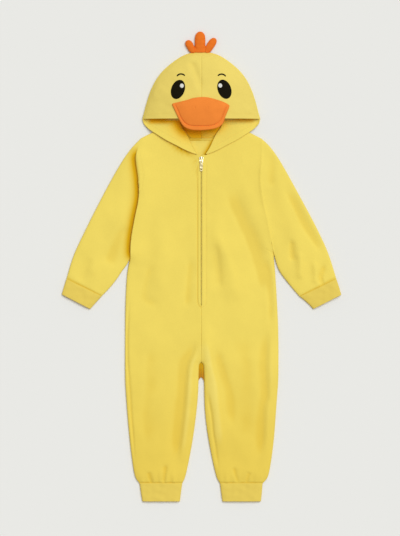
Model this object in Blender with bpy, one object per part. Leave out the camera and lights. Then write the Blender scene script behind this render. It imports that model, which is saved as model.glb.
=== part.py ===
"""A child's hooded onesie pajama with a duck's face, laid out on its back.

Sizes are in millimetres and make_object() turns them into metres. +X is the
wearer's left, +Y points to the hood, z = 0 is the table and x = 0 is the zip.

The garment's outer skin is drawn as grids of points. Grids are welded where two
pieces are sewn together, so both sides of a seam share one slope. Each piece is
then cut out of the skin, pulled back from its seams and given its thickness.
"""

import math
from collections import namedtuple

import bmesh
import bpy
from mathutils import Vector

MM = 0.001

# Cloth
WALL = 2.0                # fleece
SEAM_GAP = 0.4            # between two sewn pieces
CORNER_GAP = 1.0          # the same, underarm and at the crotch, where three seams meet
CORNER_REACH = 6.0
LAID_HEIGHT = 7.8         # front and back lying on each other
EDGE = 9.0                # how far the cloth rounds off beside the outline
EDGE_STEPS = (0.0, 0.8, 3.0, EDGE)           # points beside a rounded edge
CENTRE_STEPS = (0.0, 8.0, 20.0, 34.0)        # beside the zip and the seam below it
ARM_STEPS = (0.0, 5.0, 12.0, 24.0)           # beside the armhole
FOLD_FADE = 14.0          # over which folds grow beside the outline
ZIP_FADE = 12.0           # over which they grow beside the zip
ZIP_MARGIN = 1.0          # kept flat beside the tape
ZIP_END_MARGIN = 25.0     # kept flat below it
MIDDLE = LAID_HEIGHT / 2
REST_GAP = 0.35           # between two pieces that lie on each other
WELD = 0.002

# Body
ZIP_TOP = 240.0
ZIP_END = -80.0
ZIP_SLOT = 2.6            # between the two fronts
CROTCH = -205.0
LEG_SEAM = -465.0
NAPE_RADIUS = 45.2        # back neckline, an arc around the hood's rim centre
NECK_SIDE = 48.4          # where the shoulder seam meets the neck
NECK_GAP = 0.8            # between the hood and the shoulder seam's end
SLIT_BLEND = 12.0         # degrees over which both widen
ZIP_CORNER = 12.0         # half of the fronts' level top edge beside the zip
NECK_ANGLES = (90.0, 91.0, 93.6, 100.8, 120.0, 140.0, 160.0, 180.0)
UNDERARM_INNER = 30.0     # centre line height of the row that ends underarm
CROTCH_BLEND = 40.0       # over which rows turn from torso to leg
ARM_BLEND_ROWS = 3        # last rows of the armhole, which turn towards the side seam
ARM_MIDDLE_ROWS = 4
TILTED_ROWS = (30.0, 58.0, 82.0, 104.0)      # down the armhole from the shoulder

# Hood: angles run from the crown, 0, past the rim's corner, 90, to the zip
RIM_Y = 317.0
HOOD_FOLD_Z = 5.0         # height of the fold between its two layers
HOOD_LOFT = 32.0
DOME_FLATNESS = 2.2       # a higher power makes its top flatter
DOME_ROUNDNESS = 0.625    # and a lower one its flanks steeper
HOOD_FOLD_EDGE = 9.0
HOOD_STEPS = (1.2, 4.0, HOOD_FOLD_EDGE, 26.0)
NAPE_RINGS = (30.0, 15.0, 0.0)
NECK_RAMP = 20.0
SHOULDER_RAMP = 30.0      # over which the hood climbs onto the shoulder
LAPEL_END = 172.0
LAPEL_BLEND = 15.0        # degrees past the corner where the lapel opens out
LIFT_START = 100.0        # the lapel's rim stands off the front between these angles
LIFT_STOP = 178.0
LIFT_FADE = 25.0
LIFT_SHARE = 0.7          # of the way from its rim to its roll
RIM_LIFT = {"right": 4.0, "left": 1.5}
DROP_BOTTOM = 4.4         # the lapel turns down over the neckline to here
FULL_ANGLES = tuple(k * 7.5 for k in range(13))
LAPEL_ANGLES = (90, 95, 101, 108, 116, 125, 134.5, 144, 153, 160, 166, LAPEL_END)
UPPER_SHARES = (0.0, 0.22, 0.42, 0.58, 0.71, 0.82, 0.9, 0.96, 1.0)

# Beak and tuft
BEAK_EDGE = 3.0
BEAK_PUFF = 9.0
BEAK_CENTRE = (0.0, 326.0)
BEAK_REST = 0.55          # above the hood's coarse dome
BEAK_RINGS = (0.3, 0.55, 0.76, 0.92, 1.0)
TUFT_THICK = 10.0
LOBE_SIDES = 12
LOBE_GAP = 0.5            # between a side lobe and the middle one
ROOT_GAP = 0.6            # between a lobe and the crown's outline

# Zip
TAPE_WIDTH = 26.0
TAPE_THICK = 0.8
CHAIN_WIDTH = 1.9
CHAIN_SINK = 0.4          # below the top of the fronts
SLIDER_LENGTH = 15.0
SLIDER_WIDTH = 9.6
SLIDER_CORNER = 2.5
SLIDER_PLATE = 1.6
SLIDER_TOP_Y = 236.0
HINGE_Y = 226.0
BAIL_HOLE = 1.35
BAIL_THICK = 1.0
BAIL_WIDTH = 2.2
BAIL_RISE = 0.1           # its hole clears the slider's plate
BAIL_SIDES = 16
PULL_WIDTH = 6.6
PULL_LENGTH = 21.5
PULL_THICK = 1.4
PULL_CORNER = 0.7
PULL_TILT = 5.0           # its tip hangs down from level, degrees
WINDOW_CORNER = 0.3
GRIP_RADIUS = 2.0
GRIP_FROM_TIP = 4.2
CORNER_SIDES = 4

Row = namedtuple("Row", "y right left")
ArmPoint = namedtuple("ArmPoint", "right_x right_y left_x left_y")
Section = namedtuple("Section", "inner_y outer_y")
Ring = namedtuple("Ring", "top_x top_y under_x under_y curve")
Radius = namedtuple("Radius", "angle radius")
Lapel = namedtuple("Lapel", "angle rim roll")
Fold = namedtuple("Fold", "x0 y0 x1 y1 x2 y2 width height")
NeckPoint = namedtuple("NeckPoint", "angle beyond")
Lobe = namedtuple("Lobe", "name root_x root_y lean length width")
Station = namedtuple("Station", "along share")

# Distance of the side seam and the inseam from the centre line
SIDE_SEAM = (
    Row(29, 151, 155), Row(16, 154, 156.5), Row(-8, 159, 158.5), Row(-38, 161, 160.5),
    Row(-83, 163, 163), Row(-137, 163.5, 165.5), Row(-244, 163.5, 165.5),
    Row(-278, 161.5, 163), Row(-326, 158, 159.5), Row(-369, 154, 156.5),
    Row(-412, 149, 151), Row(-442, 144.5, 146), Row(-456, 141, 142),
    Row(LEG_SEAM, 133, 132.5), Row(-485, 130, 130.5), Row(-505, 126.5, 128),
)
INSEAM = (
    Row(CROTCH, 0, 0), Row(-208.5, 4, 3.6), Row(-214, 5.2, 4.9), Row(-231, 5.6, 5.8),
    Row(-256, 6, 6.4), Row(-278, 7, 6.4), Row(-296, 8.4, 6.9), Row(-330, 12.4, 9.4),
    Row(-364, 17, 14.2), Row(-399, 23, 20.6), Row(-433, 30, 28), Row(-456, 35.5, 34),
    Row(LEG_SEAM, 40.5, 40), Row(-485, 43.5, 42.5), Row(-505, 46, 45.5),
)
ARMHOLE = (
    ArmPoint(129, 276, 129, 275), ArmPoint(133, 250, 130, 250),
    ArmPoint(129, 223, 129, 223), ArmPoint(124, 197, 126, 190),
    ArmPoint(126, 164, 129, 152), ArmPoint(135, 121, 139, 115),
    ArmPoint(146, 70, 147, 72), ArmPoint(154, 16, 155, 29),
)
# Cross sections below the underarm: where they meet the centre or inseam, and the side
SECTIONS = (
    Section(-5, -14), Section(-40, -47), Section(-75, -80), Section(-110, -112),
    Section(-143, -143), Section(-172, -170), Section(-196, -190),
    Section(-202, -202), Section(-204.2, -212), Section(CROTCH, -221),
    Section(-207.2, -225.5), Section(-211, -230), Section(-222, -240), Section(-240, -254),
    Section(-262, -270), Section(-292, -296), Section(-327, -329),
    Section(-362, -363), Section(-397, -397), Section(-425, -425),
    Section(-445, -445), Section(-457, -457), Section(LEG_SEAM, LEG_SEAM),
)
CUFF_SECTIONS = (Section(-470, -470), Section(-487, -487), Section(-505, -505))
# Sleeve rings after the armhole; curve is the share of the armhole's bend they keep
SLEEVE_RINGS = {
    "right": (
        Ring(146, 260, 157, 9.5, 0.75), Ring(166, 234, 161, 2, 0.45),
        Ring(191, 191, 170, -9, 0.2), Ring(216, 144, 180, -25, 0),
        Ring(239, 99, 187.5, -35, 0), Ring(259, 58, 196, -45, 0),
        Ring(276, 22, 204.5, -54, 0), Ring(289.5, -26, 213.5, -63, 0),
    ),
    "left": (
        Ring(146, 261, 158.3, 19, 0.75), Ring(167, 232, 161, 7.5, 0.45),
        Ring(191, 189, 166, -7, 0.2), Ring(215, 145, 173, -18, 0),
        Ring(238, 103, 181, -28, 0), Ring(258, 63, 190, -39, 0),
        Ring(275, 25, 200, -51, 0), Ring(290, -26, 211, -64, 0),
    ),
}
SLEEVE_CUFF_RINGS = {
    "right": (Ring(295, -43, 226, -77, 0), Ring(300, -60, 239, -91.5, 0)),
    "left": (Ring(296, -43, 228, -77, 0), Ring(301, -61, 241, -91.5, 0)),
}
HOOD_OUTLINE = (
    Radius(0, 144), Radius(12.5, 144), Radius(26, 137), Radius(38, 133),
    Radius(48, 129.5), Radius(57, 126), Radius(66, 123.5), Radius(76, 122.5),
    Radius(85, 124), Radius(90, 127),
)
LAPELS = (
    Lapel(90, 127, 45.2), Lapel(97.5, 122.5, 45.2), Lapel(101, 116, 45.2),
    Lapel(110, 100, 45), Lapel(122, 88, 44), Lapel(134.5, 79, 44),
    Lapel(150, 75.7, 51), Lapel(158, 75.3, 58), Lapel(165.8, 76.2, 66.5),
    Lapel(LAPEL_END, 77, 73.8),
)
# Front neckline: how far outside the hood's neck radius it runs under the lapel
FRONT_NECK = (NeckPoint(90, 0), NeckPoint(112, 3.5), NeckPoint(140, 6.5))
# Beak outline from its left tip over the top edge and back along the lower edge
BEAK_OUTLINE = (
    (61, 344), (43, 354), (23, 361), (0, 363), (-19, 360), (-46, 354), (-61, 348),
    (-53, 325), (-45.5, 311), (-37, 300), (-20, 293.5), (1, 292.5), (21, 295),
    (37, 301), (46, 312), (55, 328),
)
LOBES = (
    Lobe("right", -14.3, 460, -34, 31, 17),
    Lobe("middle", -2.5, 461.4, 0, 44, 23),
    Lobe("left", 9.6, 460, 34, 37, 17.5),
)
LOBE_STATIONS = (
    Station(0, 0.95), Station(0.3, 0.97), Station(0.6, 1), Station(0.78, 0.94),
    Station(0.9, 0.74), Station(0.975, 0.4),
)
# Soft ridges, and troughs with a negative height, along three points each
FOLDS = (
    Fold(60, 164, 103, 59, 138, -66, 20, -2.6),
    Fold(30, 83, 56, 16, 69, -30, 20, 4.5),
    Fold(95, 150, 130, 70, 148, 10, 16, 3.0),
    Fold(29, 53, 36, 16, 41, -53, 10, -1.5),
    Fold(-24, 23, -28, -53, -30, -94, 10, -1.5),
    Fold(-106, 16, -119, -38, -84, -85, 13, -1.6),
    Fold(-75, 60, -85, -10, -70, -60, 22, 2.5),
    Fold(-12, -154, -32, -216, -46, -386, 13, -2.0),
    Fold(-85, -180, -95, -270, -92, -400, 24, 3.0),
    Fold(12, -145, 36, -248, 47, -352, 15, 4.0),
    Fold(30, -184, 55, -220, 75, -265, 13, -1.8),
    Fold(100, -190, 112, -280, 100, -400, 20, 3.0),
    Fold(145, -121, 143, -276, 123, -425, 10, -2.0),
    Fold(178, 171, 221, 89, 262, 25, 13, -2.0),
    Fold(165, 190, 190, 100, 210, 40, 18, 4.0),
    Fold(213, 31, 214, 2, 215, -27, 10, 3.5),
    Fold(196, 51, 197, 33, 196, 10, 9, -1.8),
    Fold(245, 5, 246, -12, 247, -30, 8, 3.0),
    Fold(-143, 240, -136, 150, -151, 40, 8, -1.8),
    Fold(-168, 205, -172, 130, -182, 50, 19, 4.5),
    Fold(-245, 60, -235, 20, -228, -20, 16, 3.0),
    Fold(130, 230, 129, 152, 146, 72, 8, 2.5),
    Fold(-128, -447, -90, -449, -50, -447, 11, 3.5),
    Fold(52, -447, 90, -449, 128, -447, 11, 3.0),
)

FLEECE = (240, 215, 99)
HOOD_FLEECE = (232, 210, 106)
CUFF_BAND = (229, 202, 92)
FELT = (240, 132, 48)
TUFT_FELT = (230, 116, 36)
TAPE = (226, 196, 84)
METAL = (219, 198, 132)
CLOTH_ROUGHNESS = 0.92
METAL_ROUGHNESS = 0.28


# ---------------------------------------------------------------- small helpers

def smooth(t):
    """0 to 1 with a soft start and end."""
    t = min(max(t, 0.0), 1.0)
    return t * t * (3.0 - 2.0 * t)


def lerp(a, b, t):
    return a + (b - a) * t


def mix_points(a, b, t):
    return (lerp(a[0], b[0], t), lerp(a[1], b[1], t))


def read_table(table, at, column):
    """A column's value on a smooth curve through the table's rows."""
    keys = [row[0] for row in table]
    values = [getattr(row, column) for row in table]
    if keys[0] > keys[-1]:
        keys.reverse()
        values.reverse()
    at = min(max(at, keys[0]), keys[-1])
    i = max(k for k in range(len(keys) - 1) if keys[k] <= at)
    step = keys[i + 1] - keys[i]
    slopes = []
    for k in (i, i + 1):
        low, high = max(k - 1, 0), min(k + 1, len(keys) - 1)
        slopes.append((values[high] - values[low]) / (keys[high] - keys[low]) * step)
    t = (at - keys[i]) / step
    rise = values[i + 1] - values[i]
    bend = slopes[0] * t * (1 - t) ** 2 - slopes[1] * t ** 2 * (1 - t)
    return values[i] + rise * smooth(t) + bend


def distance(a, b):
    return math.hypot(b[0] - a[0], b[1] - a[1])


def point_along(path, travel):
    """The point at a distance along a path of straight runs."""
    for a, b in zip(path, path[1:]):
        run = distance(a, b)
        if travel <= run:
            return mix_points(a, b, travel / run)
        travel -= run
    return path[-1]


def path_length(path):
    return sum(distance(a, b) for a, b in zip(path, path[1:]))


def distance_to_path(point, path):
    nearest = math.inf
    for a, b in zip(path, path[1:]):
        run_x, run_y = b[0] - a[0], b[1] - a[1]
        along = (point[0] - a[0]) * run_x + (point[1] - a[1]) * run_y
        t = min(max(along / (run_x ** 2 + run_y ** 2), 0.0), 1.0)
        nearest = min(nearest, distance(point, mix_points(a, b, t)))
    return nearest


def quarter_round(t):
    """Height of a quarter ellipse at a share t of its width."""
    t = min(max(t, 0.0), 1.0)
    return math.sqrt(1.0 - (1.0 - t) ** 2)


def edge_spaced(length, middle_count, steps=EDGE_STEPS):
    """Distances along a run, close together beside both of its ends."""
    near = list(steps)
    far = [length - step for step in reversed(steps)]
    start, stop = near[-1], far[0]
    inner = [lerp(start, stop, (k + 1) / (middle_count + 1)) for k in range(middle_count)]
    return near + inner + far


def around_rim_centre(angle, radius, sign):
    """Plan position at an angle from the crown, around the hood's rim centre."""
    turn = math.radians(angle)
    return (sign * radius * math.sin(turn), RIM_Y + radius * math.cos(turn))


# ---------------------------------------------------------------- plan of one side

class SidePlan:
    """Where the rows of one side of the body, and its sleeve rings, begin and end."""

    def __init__(self, name, sign):
        self.name = name
        self.sign = sign
        self.armhole = self.armhole_points()
        rows = self.rows_below_underarm(SECTIONS)
        cuff_rows = self.rows_below_underarm(CUFF_SECTIONS)
        self.outer = self.armhole + [row[1] for row in rows]
        self.cuff_outer = [row[1] for row in cuff_rows]
        self.front_inner = self.neck_path(self.front_neckline(), ZIP_TOP)
        self.front_inner += [row[0] for row in rows]
        nape_y = RIM_Y - NAPE_RADIUS - REST_GAP
        self.back_inner = self.neck_path(self.back_neckline(), nape_y)
        self.back_inner += [row[0] for row in rows]
        self.cuff_inner = [row[0] for row in cuff_rows]
        self.rings = self.sleeve_rings()
        self.outline = self.outline_paths()

    def armhole_points(self):
        columns = (f"{self.name}_x", f"{self.name}_y")
        path = [(self.sign * getattr(row, columns[0]), getattr(row, columns[1]))
                for row in ARMHOLE]
        length = path_length(path)
        steps = list(EDGE_STEPS) + list(TILTED_ROWS)
        start, stop = steps[-1], length - EDGE
        for k in range(1, ARM_MIDDLE_ROWS):
            steps.append(lerp(start, stop, k / ARM_MIDDLE_ROWS))
        steps += [length - step for step in reversed(EDGE_STEPS)]
        return [point_along(path, step) for step in steps]

    def front_neckline(self):
        """Corners of the front neckline, under the lapel, out to the zip."""
        corners = [around_rim_centre(angle, NECK_SIDE + beyond, self.sign)
                   for angle, beyond in FRONT_NECK]
        corners += [(self.sign * ZIP_CORNER, ZIP_TOP), (0.0, ZIP_TOP)]
        near = [point_along(corners, step) for step in EDGE_STEPS]
        return near + corners[1:]

    def back_neckline(self):
        corners = []
        for angle in NECK_ANGLES:
            gap = lerp(REST_GAP, NECK_GAP, 1.0 - smooth((angle - 90) / SLIT_BLEND))
            corners.append(around_rim_centre(angle, nape_edge(angle) + gap, self.sign))
        return corners

    def neck_path(self, neckline, top_y):
        """Inner ends of the armhole rows: the neckline, then down the centre."""
        rest = len(self.armhole) - len(neckline)
        centre = [(0.0, lerp(top_y, UNDERARM_INNER, (k + 1) / rest)) for k in range(rest)]
        return neckline + centre

    def rows_below_underarm(self, sections):
        rows = []
        for section in sections:
            outer_x = self.sign * read_table(SIDE_SEAM, section.outer_y, self.name)
            inner_x = 0.0
            if section.inner_y < CROTCH:
                inner_x = self.sign * read_table(INSEAM, section.inner_y, self.name)
            rows.append(((inner_x, section.inner_y), (outer_x, section.outer_y)))
        return rows

    def sleeve_rings(self):
        """Ring 0 is the armhole; the others bend less and less like it."""
        start, end = self.armhole[0], self.armhole[-1]
        full = distance(start, end)
        bends = []
        for point in self.armhole:
            share = ((point[0] - start[0]) * (end[0] - start[0])
                     + (point[1] - start[1]) * (end[1] - start[1])) / full ** 2
            on_chord = mix_points(start, end, share)
            bends.append((share, point[0] - on_chord[0], point[1] - on_chord[1]))
        rings = [list(self.armhole)]
        for ring in SLEEVE_RINGS[self.name] + SLEEVE_CUFF_RINGS[self.name]:
            top = (self.sign * ring.top_x, ring.top_y)
            under = (self.sign * ring.under_x, ring.under_y)
            width = distance(top, under)
            steps = edge_spaced(width, len(bends) - 2 * len(EDGE_STEPS))
            points = []
            for step, (_, bend_x, bend_y) in zip(steps, bends):
                x, y = mix_points(top, under, step / width)
                points.append((x + ring.curve * bend_x, y + ring.curve * bend_y))
            rings.append(points)
        return rings

    def outline_paths(self):
        neck = around_rim_centre(90, NECK_SIDE, self.sign)
        upper = [neck] + [ring[0] for ring in self.rings]
        sleeve_under = [ring[-1] for ring in reversed(self.rings)]
        first_side_row = len(self.armhole)
        lower = sleeve_under + self.outer[first_side_row:] + self.cuff_outer
        crotch_row = self.front_inner.index((0.0, CROTCH))
        inseam = self.front_inner[crotch_row:] + self.cuff_inner
        return (upper, lower, inseam)

    def edge_distance(self, point):
        return min(distance_to_path(point, path) for path in self.outline)


def nape_edge(angle):
    """Radius of the hood's nape edge, a little wider where the slit ends."""
    widening = NECK_SIDE - NECK_GAP - NAPE_RADIUS
    return NAPE_RADIUS + widening * (1.0 - smooth((angle - 90) / SLIT_BLEND))


# ---------------------------------------------------------------- heights

def fold_relief(x, y):
    """Sum of the soft folds at a point of the front."""
    height = 0.0
    for fold in FOLDS:
        path = ((fold.x0, fold.y0), (fold.x1, fold.y1), (fold.x2, fold.y2))
        off = distance_to_path((x, y), path) / fold.width
        height += fold.height * math.exp(-off * off)
    if y > ZIP_END - ZIP_END_MARGIN:
        height *= smooth((abs(x) - TAPE_WIDTH / 2 - ZIP_MARGIN) / ZIP_FADE)
    return height


def laid_point(plan, point, upper):
    """A point of the laid garment's top or underside at a plan position."""
    x, y = point
    off_edge = plan.edge_distance(point)
    rise = MIDDLE * quarter_round(off_edge / EDGE)
    if not upper:
        return (x, y, MIDDLE - rise)
    return (x, y, MIDDLE + rise + fold_relief(x, y) * smooth(off_edge / FOLD_FADE))


def hood_front_z(x, y):
    """Outer height of the hood's upper layer, a soft dome around the rim centre."""
    reach = math.hypot(x, y - RIM_Y)
    angle = math.degrees(math.atan2(abs(x), y - RIM_Y)) if reach else 0.0
    share = min(reach / read_table(HOOD_OUTLINE, min(angle, 90.0), "radius"), 1.0)
    return HOOD_FOLD_Z + HOOD_LOFT * (1.0 - share ** DOME_FLATNESS) ** DOME_ROUNDNESS


# ---------------------------------------------------------------- skin and pieces

class Skin:
    """Outer surface of several pieces, welded along their seams."""

    def __init__(self):
        self.mesh = bmesh.new()
        self.layer = self.mesh.faces.layers.int.new("piece")
        self.names = []

    def add_grid(self, rows, piece, upper=True):
        """Quads between rows of points; upper says which way most of them face."""
        if piece not in self.names:
            self.names.append(piece)
        verts = [[self.mesh.verts.new(point) for point in row] for row in rows]
        faces = []
        for low, high in zip(verts, verts[1:]):
            for k in range(len(low) - 1):
                faces.append(self.mesh.faces.new((low[k], low[k + 1], high[k + 1], high[k])))
        for face in faces:
            face[self.layer] = self.names.index(piece)
            face.normal_update()
        facing = sum(face.normal.z * face.calc_area() for face in faces)
        if (facing > 0) != upper:
            bmesh.ops.reverse_faces(self.mesh, faces=faces)

    def cut(self, pull_back, outline_z):
        """Give each piece its thickness, level along the outline: {name: (points, faces)}."""
        bmesh.ops.remove_doubles(self.mesh, verts=self.mesh.verts, dist=WELD)
        bmesh.ops.dissolve_degenerate(self.mesh, dist=WELD, edges=self.mesh.edges)
        self.mesh.normal_update()
        self.mesh.verts.index_update()
        inward = {}
        for vert in self.mesh.verts:
            lean = vert.normal.copy()
            if abs(vert.co.z - outline_z) < WELD:
                lean.z = 0.0
            inward[vert.index] = -lean.normalized() * WALL
        pieces = {}
        for index, name in enumerate(self.names):
            faces = [face for face in self.mesh.faces if face[self.layer] == index]
            pieces[name] = self.thicken(faces, inward, pull_back)
        self.mesh.free()
        return pieces

    @staticmethod
    def thicken(faces, inward, pull_back):
        inside = set(faces)
        borders = []
        pulls = {}
        for face in faces:
            centre = face.calc_center_median()
            for loop in face.loops:
                if sum(other in inside for other in loop.edge.link_faces) > 1:
                    continue
                start, end = loop.vert, loop.link_loop_next.vert
                borders.append((start.index, end.index))
                run = (end.co - start.co).normalized()
                away = face.normal.cross(run)
                if away.dot(centre - start.co) < 0:
                    away.negate()
                for vert in (start, end):
                    pulls.setdefault(vert.index, []).append(away)
        verts = {vert.index: vert.co.copy() for face in faces for vert in face.verts}
        for index, aways in pulls.items():
            total = sum(aways, Vector())
            mitre = 2.0 * total / max(total.length_squared, 0.8) if len(aways) > 1 else total
            verts[index] += mitre * pull_back(verts[index])
        order = {index: place for place, index in enumerate(verts)}
        outer = [tuple(co) for co in verts.values()]
        inner = [tuple(co + inward[index]) for index, co in verts.items()]
        count = len(outer)
        polygons = []
        for face in faces:
            ring = [order[vert.index] for vert in face.verts]
            polygons.append(ring)
            polygons.append([place + count for place in reversed(ring)])
        for start, end in borders:
            a, b = order[start], order[end]
            if start < end:
                polygons += [[b, a, b + count], [a, a + count, b + count]]
            else:
                polygons += [[b, a, a + count], [b, a + count, b + count]]
        return outer + inner, polygons


def seam_pull_back(point):
    """Half of the gap at a seam, wider along the zip and where three seams meet."""
    arm_end = ARMHOLE[-1]
    corners = ((-arm_end.right_x, arm_end.right_y), (arm_end.left_x, arm_end.left_y),
               (0.0, CROTCH))
    if min(distance(point, corner) for corner in corners) < CORNER_REACH:
        return CORNER_GAP / 2
    on_zip = abs(point.x) < 1.0 and ZIP_END <= point.y <= ZIP_TOP + 1.0 and point.z > MIDDLE
    return ZIP_SLOT / 2 if on_zip else SEAM_GAP / 2


# ---------------------------------------------------------------- body and sleeves

def row_points(plan, inner, outer, upper, on_leg, near_seam):
    """Plan points across one row, crowded beside its rounded ends."""
    length = distance(inner, outer)
    middle_count = 4 if upper else 1
    near = [lerp(a, b, on_leg) for a, b in zip(CENTRE_STEPS, EDGE_STEPS)]
    far = [length - lerp(a, b, near_seam) for a, b in zip(ARM_STEPS, EDGE_STEPS)]
    start, stop = near[-1], far[-1]
    middle = [lerp(start, stop, (k + 1) / (middle_count + 1)) for k in range(middle_count)]
    steps = near + middle + list(reversed(far))
    return [laid_point(plan, mix_points(inner, outer, step / length), upper)
            for step in steps]


def body_rows(plan, inner_ends, upper):
    rows = []
    last_arm_row = len(plan.armhole) - 1
    for index, (inner, outer) in enumerate(zip(inner_ends, plan.outer)):
        on_leg = smooth((CROTCH + CROTCH_BLEND - inner[1]) / CROTCH_BLEND)
        near_seam = smooth((index - last_arm_row + ARM_BLEND_ROWS) / ARM_BLEND_ROWS)
        rows.append(row_points(plan, inner, outer, upper, on_leg, near_seam))
    return rows


def add_body(skin, plan):
    front = body_rows(plan, plan.front_inner, True)
    back = body_rows(plan, plan.back_inner, False)
    skin.add_grid(front, f"front_{plan.name}")
    skin.add_grid(back, "back", upper=False)
    for rows, upper in ((front, True), (back, False)):
        cuff = [rows[-1]]
        for inner, outer in zip(plan.cuff_inner, plan.cuff_outer):
            cuff.append(row_points(plan, inner, outer, upper, 1.0, 1.0))
        skin.add_grid(cuff, f"leg_cuff_{plan.name}", upper)


def add_sleeve(skin, plan):
    sleeve_count = len(SLEEVE_RINGS[plan.name]) + 1
    for upper in (True, False):
        rings = [[laid_point(plan, point, upper) for point in ring] for ring in plan.rings]
        skin.add_grid(rings[:sleeve_count], f"sleeve_{plan.name}", upper)
        skin.add_grid(rings[sleeve_count - 1:], f"sleeve_cuff_{plan.name}", upper)


# ---------------------------------------------------------------- hood

def hood_lower_z(x, y, sign):
    """Underside of the lower layer: on the table, or up on the shoulder."""
    neck_x = sign * NECK_SIDE
    tip = (sign * ARMHOLE[0].right_x, ARMHOLE[0].right_y)
    run = distance((neck_x, RIM_Y), tip)
    away = ((RIM_Y - tip[1]) / run, abs(tip[0] - neck_x) / run)
    beyond = (abs(x) - NECK_SIDE) * away[0] + (y - RIM_Y) * away[1]
    return (LAID_HEIGHT + REST_GAP) * (1.0 - smooth(beyond / SHOULDER_RAMP))


def nape_z(x, y, sign):
    """Underside of the hood beside the neckline, level with the back."""
    from_neck = distance((x, y), (sign * NECK_SIDE, RIM_Y))
    return MIDDLE * (1.0 - quarter_round(from_neck / EDGE))


def full_hood_row(angle, sign):
    """From the rim centre over the upper layer, the fold, and back underneath."""
    reach = read_table(HOOD_OUTLINE, angle, "radius")
    row = []
    for share in UPPER_SHARES:
        x, y = around_rim_centre(angle, reach * share, sign)
        row.append((x, y, hood_front_z(x, y)))
    slit = nape_edge(90)
    ramp = NECK_RAMP * (1.0 - (angle / 90.0) ** 4)
    start, stop = reach - HOOD_STEPS[-1], slit + ramp
    radii = [reach - step for step in HOOD_STEPS]
    radii += [lerp(start, stop, 1 / 3), lerp(start, stop, 2 / 3), stop]
    for radius in radii:
        x, y = around_rim_centre(angle, radius, sign)
        flat = quarter_round((reach - radius) / HOOD_FOLD_EDGE)
        fold_z = HOOD_FOLD_Z * (1.0 - flat)
        row.append((x, y, max(hood_lower_z(x, y, sign), fold_z)))
    for radius in (slit, *NAPE_RINGS):
        x, y = around_rim_centre(angle, radius, sign)
        row.append((x, y, nape_z(x, y, sign)))
    return row


def lapel_row(angle, sign, rim_lift):
    """From the rim across the lapel, then down over the front's neckline."""
    slit = nape_edge(90)
    rim = read_table(LAPELS, angle, "rim")
    roll = read_table(LAPELS, angle, "roll") + slit - NAPE_RADIUS
    full = HOOD_OUTLINE[-1].radius - slit
    at_corner = [step / full for step in (0.0, *HOOD_STEPS)]
    rest = at_corner[-1]
    at_corner += [lerp(rest, 1.0, 1 / 3), lerp(rest, 1.0, 2 / 3), 1.0]
    even = [k / (len(at_corner) - 1) for k in range(len(at_corner))]
    spread = smooth((angle - 90) / LAPEL_BLEND)
    lift = rim_lift * smooth((angle - LIFT_START) / LAPEL_BLEND)
    lift *= smooth((LIFT_STOP - angle) / LIFT_FADE)
    row = []
    for share in (lerp(a, b, spread) for a, b in zip(at_corner, even)):
        radius = lerp(rim, roll, share)
        x, y = around_rim_centre(angle, radius, sign)
        fold_z = HOOD_FOLD_Z * (1.0 - quarter_round((rim - radius) / HOOD_FOLD_EDGE))
        z = max(hood_lower_z(x, y, sign), fold_z * (1.0 - spread))
        row.append((x, y, z + lift * (1.0 - smooth(share / LIFT_SHARE))))
    x, y = around_rim_centre(angle, roll, sign)
    bottom = nape_z(x, y, sign) if angle == 90 else DROP_BOTTOM
    row.append((x, y, bottom))
    return row


def nape_row(angle, sign):
    row = []
    slit = nape_edge(90)
    for radius in (slit, *NAPE_RINGS):
        x, y = around_rim_centre(angle, nape_edge(angle) * radius / slit, sign)
        row.append((x, y, nape_z(x, y, sign)))
    return row


def add_hood(skin, name, sign):
    piece = f"hood_{name}"
    full = [full_hood_row(angle, sign) for angle in FULL_ANGLES]
    upper_count = len(UPPER_SHARES)
    skin.add_grid([row[:upper_count] for row in full], piece)
    skin.add_grid([row[upper_count - 1:] for row in full], piece, upper=False)
    lapel = [lapel_row(angle, sign, RIM_LIFT[name]) for angle in LAPEL_ANGLES]
    lapel[0] = full[-1][upper_count - 1:upper_count + 8]
    skin.add_grid(lapel, piece, upper=False)
    nape = [nape_row(angle, sign) for angle in NECK_ANGLES]
    nape[0] = full[-1][upper_count + 7:]
    skin.add_grid(nape, piece, upper=False)


# ---------------------------------------------------------------- stuffed pieces

def closed_rings(rings, first, last):
    """Points and faces of a solid skinned over closed rings between two end points."""
    points = [first] + [point for ring in rings for point in ring] + [last]
    count = len(rings[0])
    faces = []
    for k in range(count):
        faces.append([0, 1 + k, 1 + (k + 1) % count])
    for r in range(len(rings) - 1):
        low, high = 1 + r * count, 1 + (r + 1) * count
        for k in range(count):
            nxt = (k + 1) % count
            faces.append([low + k, high + k, high + nxt, low + nxt])
    low, tip = 1 + (len(rings) - 1) * count, len(points) - 1
    for k in range(count):
        faces.append([low + k, tip, low + (k + 1) % count])
    return points, faces


def beak_solid():
    """A padded lens on the hood's dome, hanging out over the rim."""
    cx, cy = BEAK_CENTRE

    def seat(x, y):
        return hood_front_z(x, max(y, RIM_Y)) + BEAK_REST

    def ring(share, upper):
        points = []
        for x, y in BEAK_OUTLINE:
            px, py = lerp(cx, x, share), lerp(cy, y, share)
            z = seat(px, py)
            if upper:
                z += BEAK_EDGE + BEAK_PUFF * (1.0 - share ** 3) ** 0.7
            points.append((px, py, z))
        return points

    rings = [ring(share, True) for share in BEAK_RINGS]
    rings += [ring(share, False) for share in reversed(BEAK_RINGS)]
    top = (cx, cy, seat(cx, cy) + BEAK_EDGE + BEAK_PUFF)
    return closed_rings(rings, top, (cx, cy, seat(cx, cy)))


def crown_y(x):
    """How far the hood's outline reaches at the crown."""
    return RIM_Y + math.sqrt(HOOD_OUTLINE[0].radius ** 2 - x ** 2)


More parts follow.
